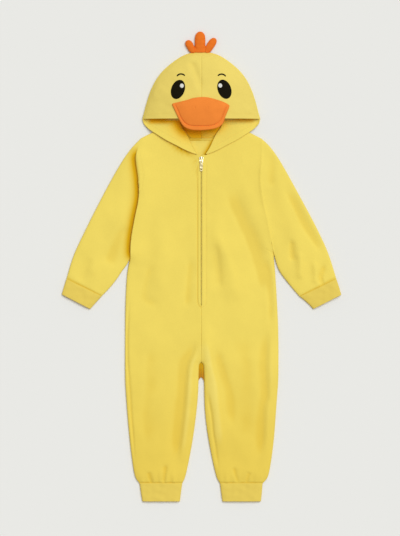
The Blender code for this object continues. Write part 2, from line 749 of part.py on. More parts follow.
def lobe_solid(lobe, beside):
    """A stuffed lobe from its root at the crown to a round tip.

    A side lobe leans out from behind the lobe beside it and ends flat against it.
    """
    lean = math.radians(lobe.lean)
    side = (lobe.root_x > beside.root_x) - (lobe.root_x < beside.root_x)
    limit = side * beside.root_x + beside.width / 2 + LOBE_GAP
    rings = []
    for along, share in LOBE_STATIONS:
        ring = []
        travel = along * lobe.length
        for k in range(LOBE_SIDES):
            turn = 2 * math.pi * k / LOBE_SIDES
            across = lobe.width / 2 * share * math.cos(turn)
            height = TUFT_THICK / 2 * (0.55 + 0.45 * share) * (1 + math.sin(turn))
            x = lobe.root_x + travel * math.sin(lean) + across * math.cos(lean)
            y = lobe.root_y + travel * math.cos(lean) - across * math.sin(lean)
            if side:
                x = side * max(side * x, limit)
            ring.append((x, max(y, crown_y(x) + ROOT_GAP), height))
        rings.append(ring)
    root = tuple(sum(values) / LOBE_SIDES for values in zip(*rings[0]))
    tip = (lobe.root_x + lobe.length * math.sin(lean),
           lobe.root_y + lobe.length * math.cos(lean), TUFT_THICK / 3)
    return closed_rings(rings, root, tip)


# ---------------------------------------------------------------- zip

def zip_tape_solid():
    """Tape under the fronts with the closed coil standing up in their slot."""
    top = LAID_HEIGHT - WALL - REST_GAP
    low = top - TAPE_THICK
    half = TAPE_WIDTH / 2
    coil = CHAIN_WIDTH / 2
    crest = LAID_HEIGHT - CHAIN_SINK
    section = ((-half, low), (half, low), (half, top), (coil, top), (coil, crest),
               (-coil, crest), (-coil, top), (-half, top))
    count = len(section)
    points = [(x, y, z) for y in (ZIP_END, SLIDER_TOP_Y) for x, z in section]
    faces = [list(range(count)), list(range(2 * count - 1, count - 1, -1))]
    for k in range(count):
        nxt = (k + 1) % count
        faces.append([k, k + count, nxt + count, nxt])
    return points, faces


def rounded_outline(half_width, top, bottom, corner):
    """Plan outline of a plate with rounded corners."""
    points = []
    corners = ((half_width - corner, top - corner, 0), (corner - half_width, top - corner, 90),
               (corner - half_width, bottom + corner, 180),
               (half_width - corner, bottom + corner, 270))
    for x, y, start in corners:
        for k in range(CORNER_SIDES + 1):
            turn = math.radians(start + 90 * k / CORNER_SIDES)
            points.append((x + corner * math.cos(turn), y + corner * math.sin(turn)))
    return points


def plate_solid(outline, low, high):
    count = len(outline)
    points = [(x, y, z) for z in (low, high) for x, y in outline]
    faces = [list(range(count - 1, -1, -1)), list(range(count, 2 * count))]
    for k in range(count):
        nxt = (k + 1) % count
        faces.append([k, nxt, nxt + count, k + count])
    return points, faces


def bail_solid(centre_y, centre_z):
    """A ring across the slider, whose lower part sinks into the plate."""
    sides = BAIL_SIDES
    radii = (BAIL_HOLE, BAIL_HOLE + BAIL_THICK)
    points = []
    for x in (-BAIL_WIDTH / 2, BAIL_WIDTH / 2):
        for radius in radii:
            for k in range(sides):
                turn = 2 * math.pi * k / sides
                points.append((x, centre_y + radius * math.cos(turn),
                               centre_z + radius * math.sin(turn)))
    faces = []
    for k in range(sides):
        nxt = (k + 1) % sides
        inner, outer, far_inner, far_outer = 0, sides, 2 * sides, 3 * sides
        faces.append([inner + k, inner + nxt, outer + nxt, outer + k])
        faces.append([far_inner + nxt, far_inner + k, far_outer + k, far_outer + nxt])
        faces.append([outer + k, outer + nxt, far_outer + nxt, far_outer + k])
        faces.append([inner + nxt, inner + k, far_inner + k, far_inner + nxt])
    return points, faces


# ---------------------------------------------------------------- objects

def material(name, colour, roughness, metallic=0.0):
    mat = bpy.data.materials.new(name)
    mat.use_nodes = True
    shader = mat.node_tree.nodes["Principled BSDF"]
    linear = [((c / 255 + 0.055) / 1.055) ** 2.4 for c in colour]
    shader.inputs["Base Color"].default_value = (*linear, 1.0)
    shader.inputs["Roughness"].default_value = roughness
    shader.inputs["Metallic"].default_value = metallic
    return mat


def make_object(name, solid, mat, origin=(0.0, 0.0, 0.0), is_cutter=False):
    """An object from points in millimetres and faces, with its origin placed."""
    points, faces = solid
    mesh = bpy.data.meshes.new(name)
    local = [tuple((c - o) * MM for c, o in zip(point, origin)) for point in points]
    mesh.from_pydata(local, [], faces)
    shell = bmesh.new()
    shell.from_mesh(mesh)
    bmesh.ops.recalc_face_normals(shell, faces=shell.faces)
    shell.to_mesh(mesh)
    shell.free()
    mesh.shade_smooth()
    mesh.set_sharp_from_angle(angle=math.radians(50))
    mesh.materials.append(mat)
    obj = bpy.data.objects.new(name, mesh)
    obj.location = [c * MM for c in origin]
    bpy.context.scene.collection.objects.link(obj)
    if is_cutter:
        obj.hide_render = True
        obj.display_type = "WIRE"
    return obj


def add_boolean(obj, other, operation):
    modifier = obj.modifiers.new(other.name, "BOOLEAN")
    modifier.operation = operation
    modifier.object = other


def make_garment(cloth, cuff_band, hood_cloth):
    body = Skin()
    for name, sign in (("right", -1), ("left", 1)):
        plan = SidePlan(name, sign)
        add_body(body, plan)
        add_sleeve(body, plan)
    for name, solid in body.cut(seam_pull_back, MIDDLE).items():
        make_object(name, solid, cuff_band if "cuff" in name else cloth)
    hood = Skin()
    add_hood(hood, "right", -1)
    add_hood(hood, "left", 1)
    for name, solid in hood.cut(lambda point: SEAM_GAP / 2, HOOD_FOLD_Z).items():
        make_object(name, solid, hood_cloth)


def make_trims(felt, tuft_felt):
    make_object("beak", beak_solid(), felt)
    middle = LOBES[1]
    for lobe in LOBES:
        make_object(f"tuft_{lobe.name}", lobe_solid(lobe, middle), tuft_felt)


def make_slider(metal, hinge, plate_low):
    bottom = SLIDER_TOP_Y - SLIDER_LENGTH
    outline = rounded_outline(SLIDER_WIDTH / 2, SLIDER_TOP_Y, bottom, SLIDER_CORNER)
    plate = plate_solid(outline, plate_low, plate_low + SLIDER_PLATE)
    slider = make_object("zip_slider", plate, metal)
    bail = make_object("bail_ring", bail_solid(hinge[1], hinge[2]), metal, is_cutter=True)
    add_boolean(slider, bail, "UNION")


def make_pull(metal, hinge):
    """A flat tab whose top bar goes through the bail."""
    half_thick = PULL_THICK / 2
    low, high = hinge[2] - half_thick, hinge[2] + half_thick
    tip = HINGE_Y - PULL_LENGTH
    outline = rounded_outline(PULL_WIDTH / 2, HINGE_Y + half_thick, tip, PULL_CORNER)
    pull = make_object("zip_pull", plate_solid(outline, low, high), metal, hinge)
    pull.rotation_euler.x = math.radians(PULL_TILT)
    window_low = HINGE_Y - BAIL_HOLE - BAIL_THICK - REST_GAP
    window = rounded_outline(BAIL_WIDTH / 2 + REST_GAP, HINGE_Y - half_thick, window_low,
                             WINDOW_CORNER)
    grip_y = tip + GRIP_FROM_TIP
    grip = rounded_outline(GRIP_RADIUS, grip_y + GRIP_RADIUS, grip_y - GRIP_RADIUS, GRIP_RADIUS)
    for name, hole in (("pull_window", window), ("pull_grip", grip)):
        solid = plate_solid(hole, low - PULL_THICK, high + PULL_THICK)
        cutter = make_object(name, solid, metal, hinge, is_cutter=True)
        cutter.rotation_euler.x = pull.rotation_euler.x
        add_boolean(pull, cutter, "DIFFERENCE")


def make_zip(tape, metal):
    make_object("zip_tape", zip_tape_solid(), tape)
    plate_low = LAID_HEIGHT + REST_GAP
    hinge = (0.0, HINGE_Y, plate_low + SLIDER_PLATE + BAIL_HOLE + BAIL_RISE)
    make_slider(metal, hinge, plate_low)
    make_pull(metal, hinge)


def main():
    for obj in list(bpy.data.objects):
        bpy.data.objects.remove(obj)
    cloth = material("yellow_fleece", FLEECE, CLOTH_ROUGHNESS)
    hood_cloth = material("hood_fleece", HOOD_FLEECE, CLOTH_ROUGHNESS)
    cuff_band = material("cuff_band", CUFF_BAND, CLOTH_ROUGHNESS)
    felt = material("orange_felt", FELT, CLOTH_ROUGHNESS)
    tuft_felt = material("tuft_felt", TUFT_FELT, CLOTH_ROUGHNESS)
    tape = material("zip_tape_weave", TAPE, CLOTH_ROUGHNESS)
    metal = material("pale_metal", METAL, METAL_ROUGHNESS, 1.0)
    make_garment(cloth, cuff_band, hood_cloth)
    make_trims(felt, tuft_felt)
    make_zip(tape, metal)


main()
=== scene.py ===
"""Looks of a child's hooded onesie pajama with a duck's face, laid out on its back.

Each cloth piece is a copy of its CAD piece, merged, rounded and then creased by
listed folds. Tables are in millimetres and settings in metres. +X is the
wearer's left, +Y points to the hood and z = 0 is the floor.
"""

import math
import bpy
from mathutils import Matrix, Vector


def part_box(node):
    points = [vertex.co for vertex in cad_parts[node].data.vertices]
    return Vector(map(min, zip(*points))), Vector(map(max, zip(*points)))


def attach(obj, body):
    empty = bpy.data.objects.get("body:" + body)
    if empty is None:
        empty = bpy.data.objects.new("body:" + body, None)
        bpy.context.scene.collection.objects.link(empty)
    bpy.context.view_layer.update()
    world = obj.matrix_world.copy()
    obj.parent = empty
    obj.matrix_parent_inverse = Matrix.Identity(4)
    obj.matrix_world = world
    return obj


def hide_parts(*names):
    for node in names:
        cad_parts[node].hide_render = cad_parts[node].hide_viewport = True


bl_info = {
    "name": "Onesie Pajama",
    "version": (1, 0, 0),
    "blender": (4, 5, 0),
    "location": "View3D > Sidebar > Pajama",
    "description": "Dresses the onesie pajama's CAD pieces as fleece, felt, thread and metal",
    "category": "Object",
}

from collections import namedtuple

import bmesh
import bpy
import numpy as np
from bpy.props import FloatProperty, FloatVectorProperty, IntProperty, PointerProperty
from mathutils import Matrix, Vector
from mathutils.bvhtree import BVHTree
from mathutils.kdtree import KDTree

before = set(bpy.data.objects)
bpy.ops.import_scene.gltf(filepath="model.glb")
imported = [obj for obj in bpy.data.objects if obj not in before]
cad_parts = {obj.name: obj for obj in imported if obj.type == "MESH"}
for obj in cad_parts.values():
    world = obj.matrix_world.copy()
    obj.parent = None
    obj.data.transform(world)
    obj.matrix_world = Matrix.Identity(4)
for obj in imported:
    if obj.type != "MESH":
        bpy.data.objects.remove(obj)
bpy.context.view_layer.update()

MM = 0.001
GARMENT, PULL_TAB = "garment", "pull_tab"

# Layers of the laid cloth
WALL = 2.0
SIDE_Z = 3.9              # height of the side seams, between the layers
OVER_BACK_Z = 2.6         # above this, the cloth lies over the back
LAYER_FADE = 1.5          # height over which one layer's cloth turns into the other's
LOWEST_OUTSIDE = 4.3      # how low a trough's outside goes, over the back's cloth
RIM_Y = 317.0             # the hood's rim, over the neck
DOME_Z = 9.0              # above this, the hood's cloth is its dome
LEG_SEAM_Y = -465.0       # where the legs are gathered into their cuffs
ZIP_END_Y = -92.0         # below this, the fronts are sewn to each other

# Making a cloth piece from its solid
MERGE = 2e-6
SHARP = math.radians(50)
CREASED = 0.75            # how crisp a sharp edge stays where nothing is sewn to it
PATH_SAMPLES = 6          # points on a curve for each point of its path
FADE = 0.22               # share of a fold's length over which it begins and ends
SEWN_REACH = 1.3          # points of two sewn pieces this close belong together
SEWN_GAP = 0.04           # what stays between them

Crease = namedtuple("Crease", "height left right points")
Cut = namedtuple("Cut", "width length area")

# Ridges, and troughs with a negative height. left and right are the widths of their two
# sides, seen from the first point towards the last.
BODY_CREASES = (
    Crease(-2.6, 20, 9, ((52, 176), (79, 111), (103, 59), (122, 3), (137, -66))),
    Crease(2.2, 10, 22, ((30, 83), (55, 16), (68, -25), (74, -80))),
    Crease(-1.8, 7, 12, ((28, 53), (35, 16), (40, -53))),
    Crease(-1.9, 10, 6, ((-23, 23), (-29, -53), (-30, -94))),
    Crease(-1.3, 10, 8, ((-107, 16), (-119, -38), (-119, -72), (-84, -85))),
    Crease(-3.4, 7, 13, ((-11, -147), (-25, -188), (-36, -216), (-41, -281), (-48, -343),
                         (-52, -386), (-56, -430))),
    Crease(2.2, 9, 8, ((-2, -150), (-12, -188), (-22, -216), (-27, -281), (-33, -343),
                        (-38, -386), (-44, -430))),
    Crease(2.6, 8, 16, ((5, -135), (18, -205), (28, -258), (38, -352), (46, -410))),
    Crease(-2.2, 8, 13, ((28, -165), (46, -222), (62, -280), (66, -350))),
    Crease(-2.5, 8, 12, ((138, -121), (135, -210), (137, -276), (131, -304), (127, -386),
                         (117, -425))),
    Crease(1.3, 7, 7, ((151, -121), (149, -210), (149, -276), (144, -304), (139, -386),
                       (130, -425))),
    Crease(-1.7, 4, 5, ((-37, 243), (-16, 227), (-9, 203))),
    Crease(-1.5, 2.4, 3, ((-154, -60), (-158, -136), (-158, -201), (-155, -244),
                          (-152, -287), (-150, -321), (-146, -373), (-142, -430))),
    Crease(-1.5, 2.4, 3, ((15, -270), (18, -298), (22, -321), (24, -341), (26, -362),
                          (30, -384), (33, -405), (38, -440))),
    Crease(-1.9, 5, 3.5, ((-114, -440), (-111, -454), (-105, -468))),
    Crease(-2.3, 4, 5, ((-76, -424), (-79, -446), (-82, -468))),
    Crease(-2.1, 5, 3.5, ((69, -430), (74, -450), (79, -468))),
    Crease(-1.9, 4, 5, ((104, -440), (100, -454), (98, -468))),
    Crease(-1.2, 26, 12, ((-100, -150), (-112, -230), (-118, -320), (-116, -400))),
    Crease(-1.2, 14, 26, ((84, -120), (98, -220), (101, -330), (96, -410))),
    Crease(1.2, 16, 16, ((-84, 170), (-92, 100), (-88, 10), (-94, -70))),
    Crease(-1.8, 7, 5, ((134, 20), (141, -10), (146, -50), (148, -90), (147, -130))),
)
SLEEVE_RIGHT_CREASES = (
    Crease(-1.9, 18, 12, ((-160, 90), (-180, 50), (-205, 0))),
    Crease(1.4, 14, 12, ((-205, 60), (-225, 20), (-240, -25))),
    Crease(-1.2, 9, 14, ((-236, 20), (-252, -8), (-258, -36))),
)
SLEEVE_LEFT_CREASES = (
    Crease(-1.3, 8, 13, ((146, 248), (153, 222), (150, 192), (150, 165))),
    Crease(-2.5, 12, 6, ((178, 171), (201, 130), (221, 89), (236, 66), (262, 25))),
    Crease(-2.1, 8, 5, ((193, 60), (194, 34), (196, 8))),
    Crease(1.8, 6, 9, ((211, 34), (213, 2), (212, -30))),
    Crease(1.9, 6, 8, ((244, 14), (246, -12), (245, -40))),
    Crease(-2.6, 4, 6, ((266, 4), (257, -25), (264, -40))),
)
BACK_CREASES = (
    Crease(1.1, 12, 7, ((-60, 180), (-40, 90), (-52, -20), (-30, -110))),
    Crease(0.9, 9, 12, ((70, 140), (48, 40), (60, -60))),
    Crease(1.2, 8, 14, ((-12, -140), (-60, -230), (-88, -330), (-95, -420))),
    Crease(1.2, 12, 8, ((20, -150), (62, -240), (84, -340), (92, -430))),
    Crease(0.8, 6, 9, ((-140, 60), (-120, -40), (-135, -140))),
    Crease(0.8, 9, 6, ((138, 70), (122, -30), (140, -130))),
)
# The wearer's right sleeve drops away from the body along this line
ARM_STEP = ((-135, 262), (-139.5, 233), (-134, 186), (-133, 147), (-142, 100), (-149.5, 57),
            (-151, 23), (-155, 2))
ARM_STEP_RISE, ARM_STEP_DROP = 6.0, 2.6
ARM_STEP_BODY, ARM_STEP_SLEEVE = 28.0, 9.0      # how far the rise and the drop reach
ARM_STEP_OVERHANG = 3.0
ARM_STEP_EDGE = 1.4                             # half the width of the fold's edge
ARM_STEP_SHADE = 12.5                           # how far its shadow reaches
ARM_STEP_FADE = 0.12                            # share of its length, at each end

# Where the armhole seams show: drawn in on the right, standing up on the left
ARMHOLE_RIGHT = ((-129.2, 222.5), (-123.6, 196.7), (-127.7, 171))
ARMHOLE_LEFT = ((129, 275), (129.8, 245), (128.5, 217), (126.5, 193), (127.5, 171),
                (132.8, 138), (140.9, 105), (147.1, 71), (154, 33))
CUFF_SEAMS = (
    ((-287, -27), (-216, -61.5)), ((287, -27), (213.6, -62.5)),
    ((-134, -464.6), (-40, -464.6)), ((40, -464.6), (134, -464.6)),
)
SEAM_DEPTH, SEAM_WIDTH = 1.5, 1.6
SEAM_SHADE_SHARE, SEAM_SHADE_WIDTH = 0.55, 0.9    # of painted shade in a cuff's seam
CENTRE_SEAM_DEPTH, CENTRE_SEAM_WIDTH = 1.1, 1.4
HOOD_SEAM_DEPTH, HOOD_SEAM_WIDTH = 1.0, 1.1
GATHER_HEIGHT, GATHER_REACH = 0.9, 34.0
LEG_DARKENING, TROUGH_SHADE = 0.27, 0.2               # how far the legs darken downwards, and painted shade in troughs
STEP_SHADOW = 1.6
# A dark sheet for the shadow between the legs: the back's edge at the crotch, drawn down and
# widened, and given painted deep shadow
SHADOW_SHEET_TOP_Y, SHADOW_SHEET_LOW_Y = -203.0, -217.0
SHADOW_SHEET_HALF_WIDTH, SHADOW_SHEET_WIDENING = 5.9, 0.22
SHADOW_SHEET_LENGTH = 33.0
# Inside the neck: the bounds of its painted shade, the lapel and neck edges whose shadows
# are painted, and the bands laid there
NECK_LOW_Y, NECK_BAND_Y = 228.0, 269.7
LAPEL_EDGE = ((-100, 282), (-75, 268.5), (-42, 251.5), (-10, 237))
NECK_EDGE = ((43, 301), (38.5, 292), (30, 278.7), (24.5, 267), (10.3, 242))
NECK_TAPE = ((-26.0, 270.4), (27.5, 275.8))
NECK_FACING = ((-27.0, 233.0), (28.0, 271.4))
HOOD_CREASE = Crease(-3.6, 8, 7, ((-26, 446), (-16, 424), (-5, 396), (-3, 376)))
ARMHOLE_DEPTH, ARMHOLE_RIDGE, ARMHOLE_WIDTH = 0.45, 0.7, 3.0

# Stitched line round the zip, from the right front's neckline to the left front's
PLACKET = ((-17, 236), (-12.5, 229), (-10, 222), (-8.4, 212), (-8, 196), (-8, 100), (-8, 0),
           (-8, -70), (-6.8, -79), (-3, -85.5), (1.5, -87), (6.5, -85), (9.8, -79),
           (10.7, -70), (10.7, 0), (10.7, 100), (10.7, 196), (10.7, 222))
PLACKET_WIDTH, PLACKET_DEPTH_RIGHT, PLACKET_DEPTH_LEFT = 1.1, 1.1, 0.6
FLAT_BESIDE_ZIP = 15.0                          # no fold comes closer to the zip
LIP_HEIGHT, LIP_PLACE, LIP_WIDTH = 0.6, 4.2, 2.4    # of the cloth's fold beside the coil
# Stitches on the left half of the hood, mirrored to the right
RIM_STITCHES = ((59, 329.5), (75, 329), (92, 328.5), (108, 327.5), (116, 326.5))
LAPEL_STITCHES = ((112, 307), (103, 300.5), (88, 292.5), (70, 282.5), (52, 272.5),
                  (34, 262))
STITCH_WIDTH, STITCH_HEIGHT, STITCH_LIFT = 0.6, 0.55, 0.08
TAPE_THICK = 0.45
COIL_Z = 7.2
COIL_WIDTH, COIL_HEIGHT, COIL_STAGGER = 1.8, 1.1, 0.36
SLIDER_TAIL_Y = 222.0
HINGE = Vector((0.0, 0.226, 0.0112))
PULL_TILT = math.radians(5)
PULL_THICK = 1.4
# Half widths of the pull along Y, from its bar to its tip
PULL_SHAPE = ((226.7, 2.7), (223.2, 2.7), (221.0, 2.6), (219.4, 3.3), (212.0, 3.3),
              (210.6, 2.75), (209.2, 3.0), (204.5, 3.0))
PULL_HOLE_Y, PULL_HOLE_RADIUS = 208.2, 1.7
PULL_PANEL = ((-2.5, 212.4), (2.5, 218.8))      # sunk on both faces
PULL_PANEL_DEPTH = 0.25
BAIL_RADIUS, BAIL_WIRE, BAIL_WIDENING = 1.85, 0.48, 2.2
# The slider's plate, from its node's lowest corner up, with two slots and a ridge between
PLATE_LOW, PLATE_TOP, PLATE_ROUND, TAIL_SHARE = 0.45, 1.5, 2.3, 0.8
SLOT_X, SLOT_HALF_WIDTH, SLOT_LENGTH = 2.75, 0.8, 6.6
RIDGE_HALF_WIDTH, RIDGE_BACK, RIDGE_FRONT, RIDGE_RISE = 1.45, 7.2, 0.7, 0.75

SEWN = (
    ("front_right", "front_left"), ("hood_right", "hood_left"),
    ("back", "hood_right"), ("back", "hood_left"),
    ("back", "front_right"), ("back", "front_left"),
    ("back", "sleeve_right"), ("back", "sleeve_left"),
    ("front_right", "sleeve_right"), ("front_left", "sleeve_left"),
    ("sleeve_right", "sleeve_cuff_right"), ("sleeve_left", "sleeve_cuff_left"),
    ("back", "leg_cuff_right"), ("back", "leg_cuff_left"),
    ("front_right", "leg_cuff_right"), ("front_left", "leg_cuff_left"),
)

# Beak: its edge from the right tip over the top to the left tip, and back along the bottom
BEAK_TOP = ((-62.5, 346.5), (-61, 349.5), (-46, 353), (-30, 357), (-17, 361), (0, 363),
            (13, 362.5), (26, 359.5), (44, 354), (56, 348.5), (60.5, 344.5))
BEAK_BOTTOM = ((60.5, 344.5), (58.5, 338), (52, 322), (48, 310), (43.5, 303), (37, 298.5),
               (27, 295), (12, 292.5), (-4, 291.8), (-20, 292.6), (-31, 296), (-39, 301.5),
               (-46, 312), (-51, 322), (-57.5, 336), (-62.5, 346.5))
BEAK_CENTRE = (0.0, 328.0)
BEAK_ROUND, BEAK_RINGS = 144, 58
BEAK_SEAM = ((-56.5, 347), (-52.5, 339), (-49, 332), (-44.7, 321.4), (-38.7, 311.8),
             (-31.8, 305.3), (-24.3, 302.1), (-13, 301), (-2.8, 300.8), (8, 301),
             (18.7, 301.6), (31.6, 305.3), (39, 311), (43.4, 317.1), (47.7, 327.9),
             (53.1, 340.8), (55, 345.5))
BEAK_FLANGE_THICK, BEAK_TOP_THICK = 3.0, 1.6
BEAK_FLANGE_ROUND, BEAK_TOP_ROUND = 1.8, 1.6
BEAK_PUFF, BEAK_PUFF_REACH = 6.2, 15.0
BEAK_GROOVE_DEPTH, BEAK_GROOVE_WIDTH = 1.7, 1.15
BEAK_BLEND = 1.6          # how softly the puff's two slopes meet
BEAK_SEAT, BEAK_WALL = 0.3, 0.2
NOSTRILS = (((-14.2, 343.5), (-13.2, 336.5)), ((14.6, 343.0), (13.8, 337.0)))
NOSTRIL_DEPTH, NOSTRIL_WIDTH = 0.9, 1.0

# Side, sign of X, and the middles of the eye, its highlight and its brow
FACE = (("right", -1, (-50.1, 379.6), (-41.7, 387.6), (-43.4, 413.0)),
        ("left", 1, (49.5, 380.0), (40.6, 388.0), (43.4, 412.7)))
GLINT_LENGTH, GLINT_WIDTH, GLINT_LEAN = 0.0092, 0.0084, 0.2
BROW_BEND, BROW_ANGLE = 10.5, math.radians(118)

# The strip that the tuft's lobes are sewn to, in metres, and its middle
ROOT_LENGTH, ROOT_WIDTH, ROOT_HEIGHT = 0.030, 0.0445, 0.0080
ROOT_PLACE = (-1.9, 461.8, 0.6)
ROOT_CUT_Y = -1.2
LOBE_ROUNDING = 4

# Stage, in metres
FLOOR_SIZE, FLOOR_Z = 40.0, -0.0002
CAMERA_PLACE = (-2.8 * MM, -3.2 * MM)
SENSOR_WIDTH, CAMERA_REACH = 36.0, 60.0


# ---------------------------------------------------------------- settings

def colour_setting(name, description, colour):
    return FloatVectorProperty(name=name, description=description, default=colour,
                               subtype="COLOR", size=3, min=0.0, max=1.0)


def length_setting(name, description, metres):
    return FloatProperty(name=name, description=description, default=metres, min=0.0,
                         subtype="DISTANCE", unit="LENGTH", precision=5)


def angle_setting(name, description, degrees):
    return FloatProperty(name=name, description=description, default=math.radians(degrees),
                         subtype="ANGLE", unit="ROTATION")


class ClothSettings(bpy.types.PropertyGroup):
    """Fleece of the body, sleeves, cuffs and hood."""
    body_colour: colour_setting("Body", "Fleece of the body and sleeves", (0.87, 0.68, 0.125))
    # Painted shade on the body: in troughs, seams, beside the step, under the lapel and in the
    # neck
    body_shade_colour: colour_setting("Body, pressed", "Where the body's pile is pressed or hidden",
                              (0.69, 0.405, 0.004))
    # Painted deep shadow beside the step and between the legs
    body_deep_shadow_colour: colour_setting("Body, covered", "Pile between the legs, never faded",
                                 (0.50, 0.21, 0.012))
    # Painted shade: a darker, paler tone painted on the hood's dome, where most light falls; the
    # rest of the hood takes the body's colour
    dome_painted_shade_colour: colour_setting("Hood", "Fleece of the hood", (0.815, 0.635, 0.142))
    # Painted shade inside the hood, under its rim and in the neck
    hood_inside_shade_colour: colour_setting("Hood, inside", "Pile inside the hood, never faded",
                              (0.93, 0.50, 0.008))
    # Painted shadow of the beak
    beak_shadow_colour: colour_setting("Hood, covered", "Pile that the beak covers",
                                 (1.0, 0.34, 0.002))
    # Painted light: paler pile painted on the legs' ridges and inside the neckline
    painted_light_colour: colour_setting("Body, faded", "Pile on ridges and inside the neckline",
                                 (0.94, 0.77, 0.22))
    cuff_colour: colour_setting("Cuffs", "Folded bands of the cuffs", (0.79, 0.59, 0.108))
    fibre: length_setting("Fibre", "Size of a tuft of brushed fibre", 0.0024)
    crease_depth: FloatProperty(name="Crease depth", description="Factor on all folds",
                                default=1.6, min=0.0, max=3.0, subtype="FACTOR")
    unevenness: length_setting("Unevenness", "Height of the soft unevenness", 0.0004)
    rounding: IntProperty(name="Rounding", description="Subdivisions of a cloth piece",
                          default=3, min=1, max=4)


class FaceSettings(bpy.types.PropertyGroup):
    """Embroidered eyes and brows, felt beak and tuft."""
    eye_colour: colour_setting("Eye", "Thread of the eyes and brows", (0.008, 0.006, 0.0015))
    light_colour: colour_setting("Glint", "Thread of the eyes' highlights", (0.78, 0.74, 0.62))
    beak_colour: colour_setting("Beak", "Felt of the beak", (0.90, 0.246, 0.038))
    tuft_colour: colour_setting("Tuft", "Felt of the tuft", (0.82, 0.178, 0.018))
    eye_length: length_setting("Eye length", "Long axis of an eye", 0.043)
    eye_width: length_setting("Eye width", "Short axis of an eye", 0.029)
    eye_lean: angle_setting("Eye lean", "Lean of an eye towards the middle", 20)
    brow_width: length_setting("Brow width", "Width of a brow at its middle", 0.0034)
    thread_height: length_setting("Thread height", "How far satin stitch stands up", 0.0006)


class ZipSettings(bpy.types.PropertyGroup):
    """Zip, its slider and the stitching beside it."""
    tape_colour: colour_setting("Tape", "Woven tape and coil", (0.84, 0.62, 0.11))
    coil_colour: colour_setting("Coil", "Coil of the zip", (0.95, 0.74, 0.18))
    thread_colour: colour_setting("Thread", "Sewing thread", (0.84, 0.62, 0.12))
    metal_colour: colour_setting("Metal", "Slider and pull", (0.88, 0.74, 0.42))
    # Painted shade: a dark plate under the slider's slots stands in for the shade inside its
    # channel
    channel_shade_colour: colour_setting("Channel", "Dark inside of the slider", (0.09, 0.06, 0.02))
    pitch: length_setting("Coil pitch", "Distance between two turns of the coil", 0.0014)
    stitch: length_setting("Stitch", "Length of one stitch", 0.0026)
    stitch_gap: length_setting("Stitch gap", "Gap between two stitches", 0.0007)


class StageSettings(bpy.types.PropertyGroup):
    """Floor, lights and camera."""
    floor_colour: colour_setting("Floor", "Plain floor", (0.82, 0.81, 0.78))
    camera_height: length_setting("Camera height", "Height over the floor", 10.0)
    frame_length: length_setting("Frame length", "Length of floor in view", 1.1524)
    key_strength: FloatProperty(name="Key light", description="Strength of the soft key light",
                                default=2.22, min=0.0)
    key_colour: colour_setting("Key colour", "Tint of the key light", (0.856, 0.917, 1.0))
    key_lean: angle_setting("Key lean", "Its lean from straight overhead", 26)
    key_turn: angle_setting("Key turn", "The side it comes from", 52)
    key_softness: angle_setting("Key softness", "Angle that it fills", 38)
    fill: FloatProperty(name="Fill", description="Brightness of the surroundings",
                        default=0.45, min=0.0)
    fill_colour: colour_setting("Fill colour", "Tint of the surroundings", (1.0, 0.94, 0.82))


# ---------------------------------------------------------------- materials

class Shade:
    """A number that varies over a surface. Arithmetic on it adds Math nodes."""

    def __init__(self, paint, socket):
        self.paint, self.socket = paint, socket

    def maths(self, operation, *values):
        return self.paint.node("ShaderNodeMath", {"operation": operation},
                               dict(enumerate(values)))

    def __add__(self, other):
        return self.maths("ADD", self, other)

    def __sub__(self, other):
        return self.maths("SUBTRACT", self, other)

    def __rsub__(self, other):
        return self.maths("SUBTRACT", other, self)

    def __mul__(self, other):
        return self.maths("MULTIPLY", self, other)

    __radd__, __rmul__ = __add__, __mul__


class Paint:
    """One material. Its constants sit on the shader, and node() adds everything else."""

    def __init__(self, name, **constants):
        self.material = bpy.data.materials.new(name)
        self.material.use_nodes = True
        self.nodes = self.material.node_tree.nodes
        self.links = self.material.node_tree.links
        self.shader = self.nodes["Principled BSDF"]
        for socket, value in constants.items():
            self.shader.inputs[socket.replace("_", " ")].default_value = value

    def node(self, kind, settings, sockets, output=0):
        """Adds a node: its settings first, then the values or links of its sockets."""
        node = self.nodes.new(kind)
        for name, value in settings.items():
            setattr(node, name, value)
        for key, value in sockets.items():
            if isinstance(value, Shade):
                self.links.new(value.socket, node.inputs[key])
            else:
                node.inputs[key].default_value = value
        return Shade(self, node.outputs[output])

    def place(self):
        return self.node("ShaderNodeTexCoord", {}, {}, output="Object")

    def noise(self, size, detail=2.0, roughness=0.5):
        return self.node("ShaderNodeTexNoise", {},
                         {"Vector": self.place(), "Scale": 1 / size, "Detail": detail,
                          "Roughness": roughness})

    def mix(self, low, high, share):
        """A colour between two, by a share from 0 to 1."""
        return self.node("ShaderNodeMix", {"data_type": "RGBA", "clamp_factor": True},
                         {0: share, 6: low, 7: high}, output=2)

    def attribute(self, name):
        """A share stored at the points of the piece."""
        return self.node("ShaderNodeAttribute", {"attribute_name": name}, {}, output="Fac")

    def paint(self, socket, shade):
        self.links.new(shade.socket, self.shader.inputs[socket])

    def emboss(self, height, distance, strength=1.0):
        self.paint("Normal", self.node("ShaderNodeBump", {},
                                       {"Height": height, "Distance": distance,
                                        "Strength": strength}))


def toned(colour, factor):
    return (*(min(channel * factor, 1.0) for channel in colour), 1.0)


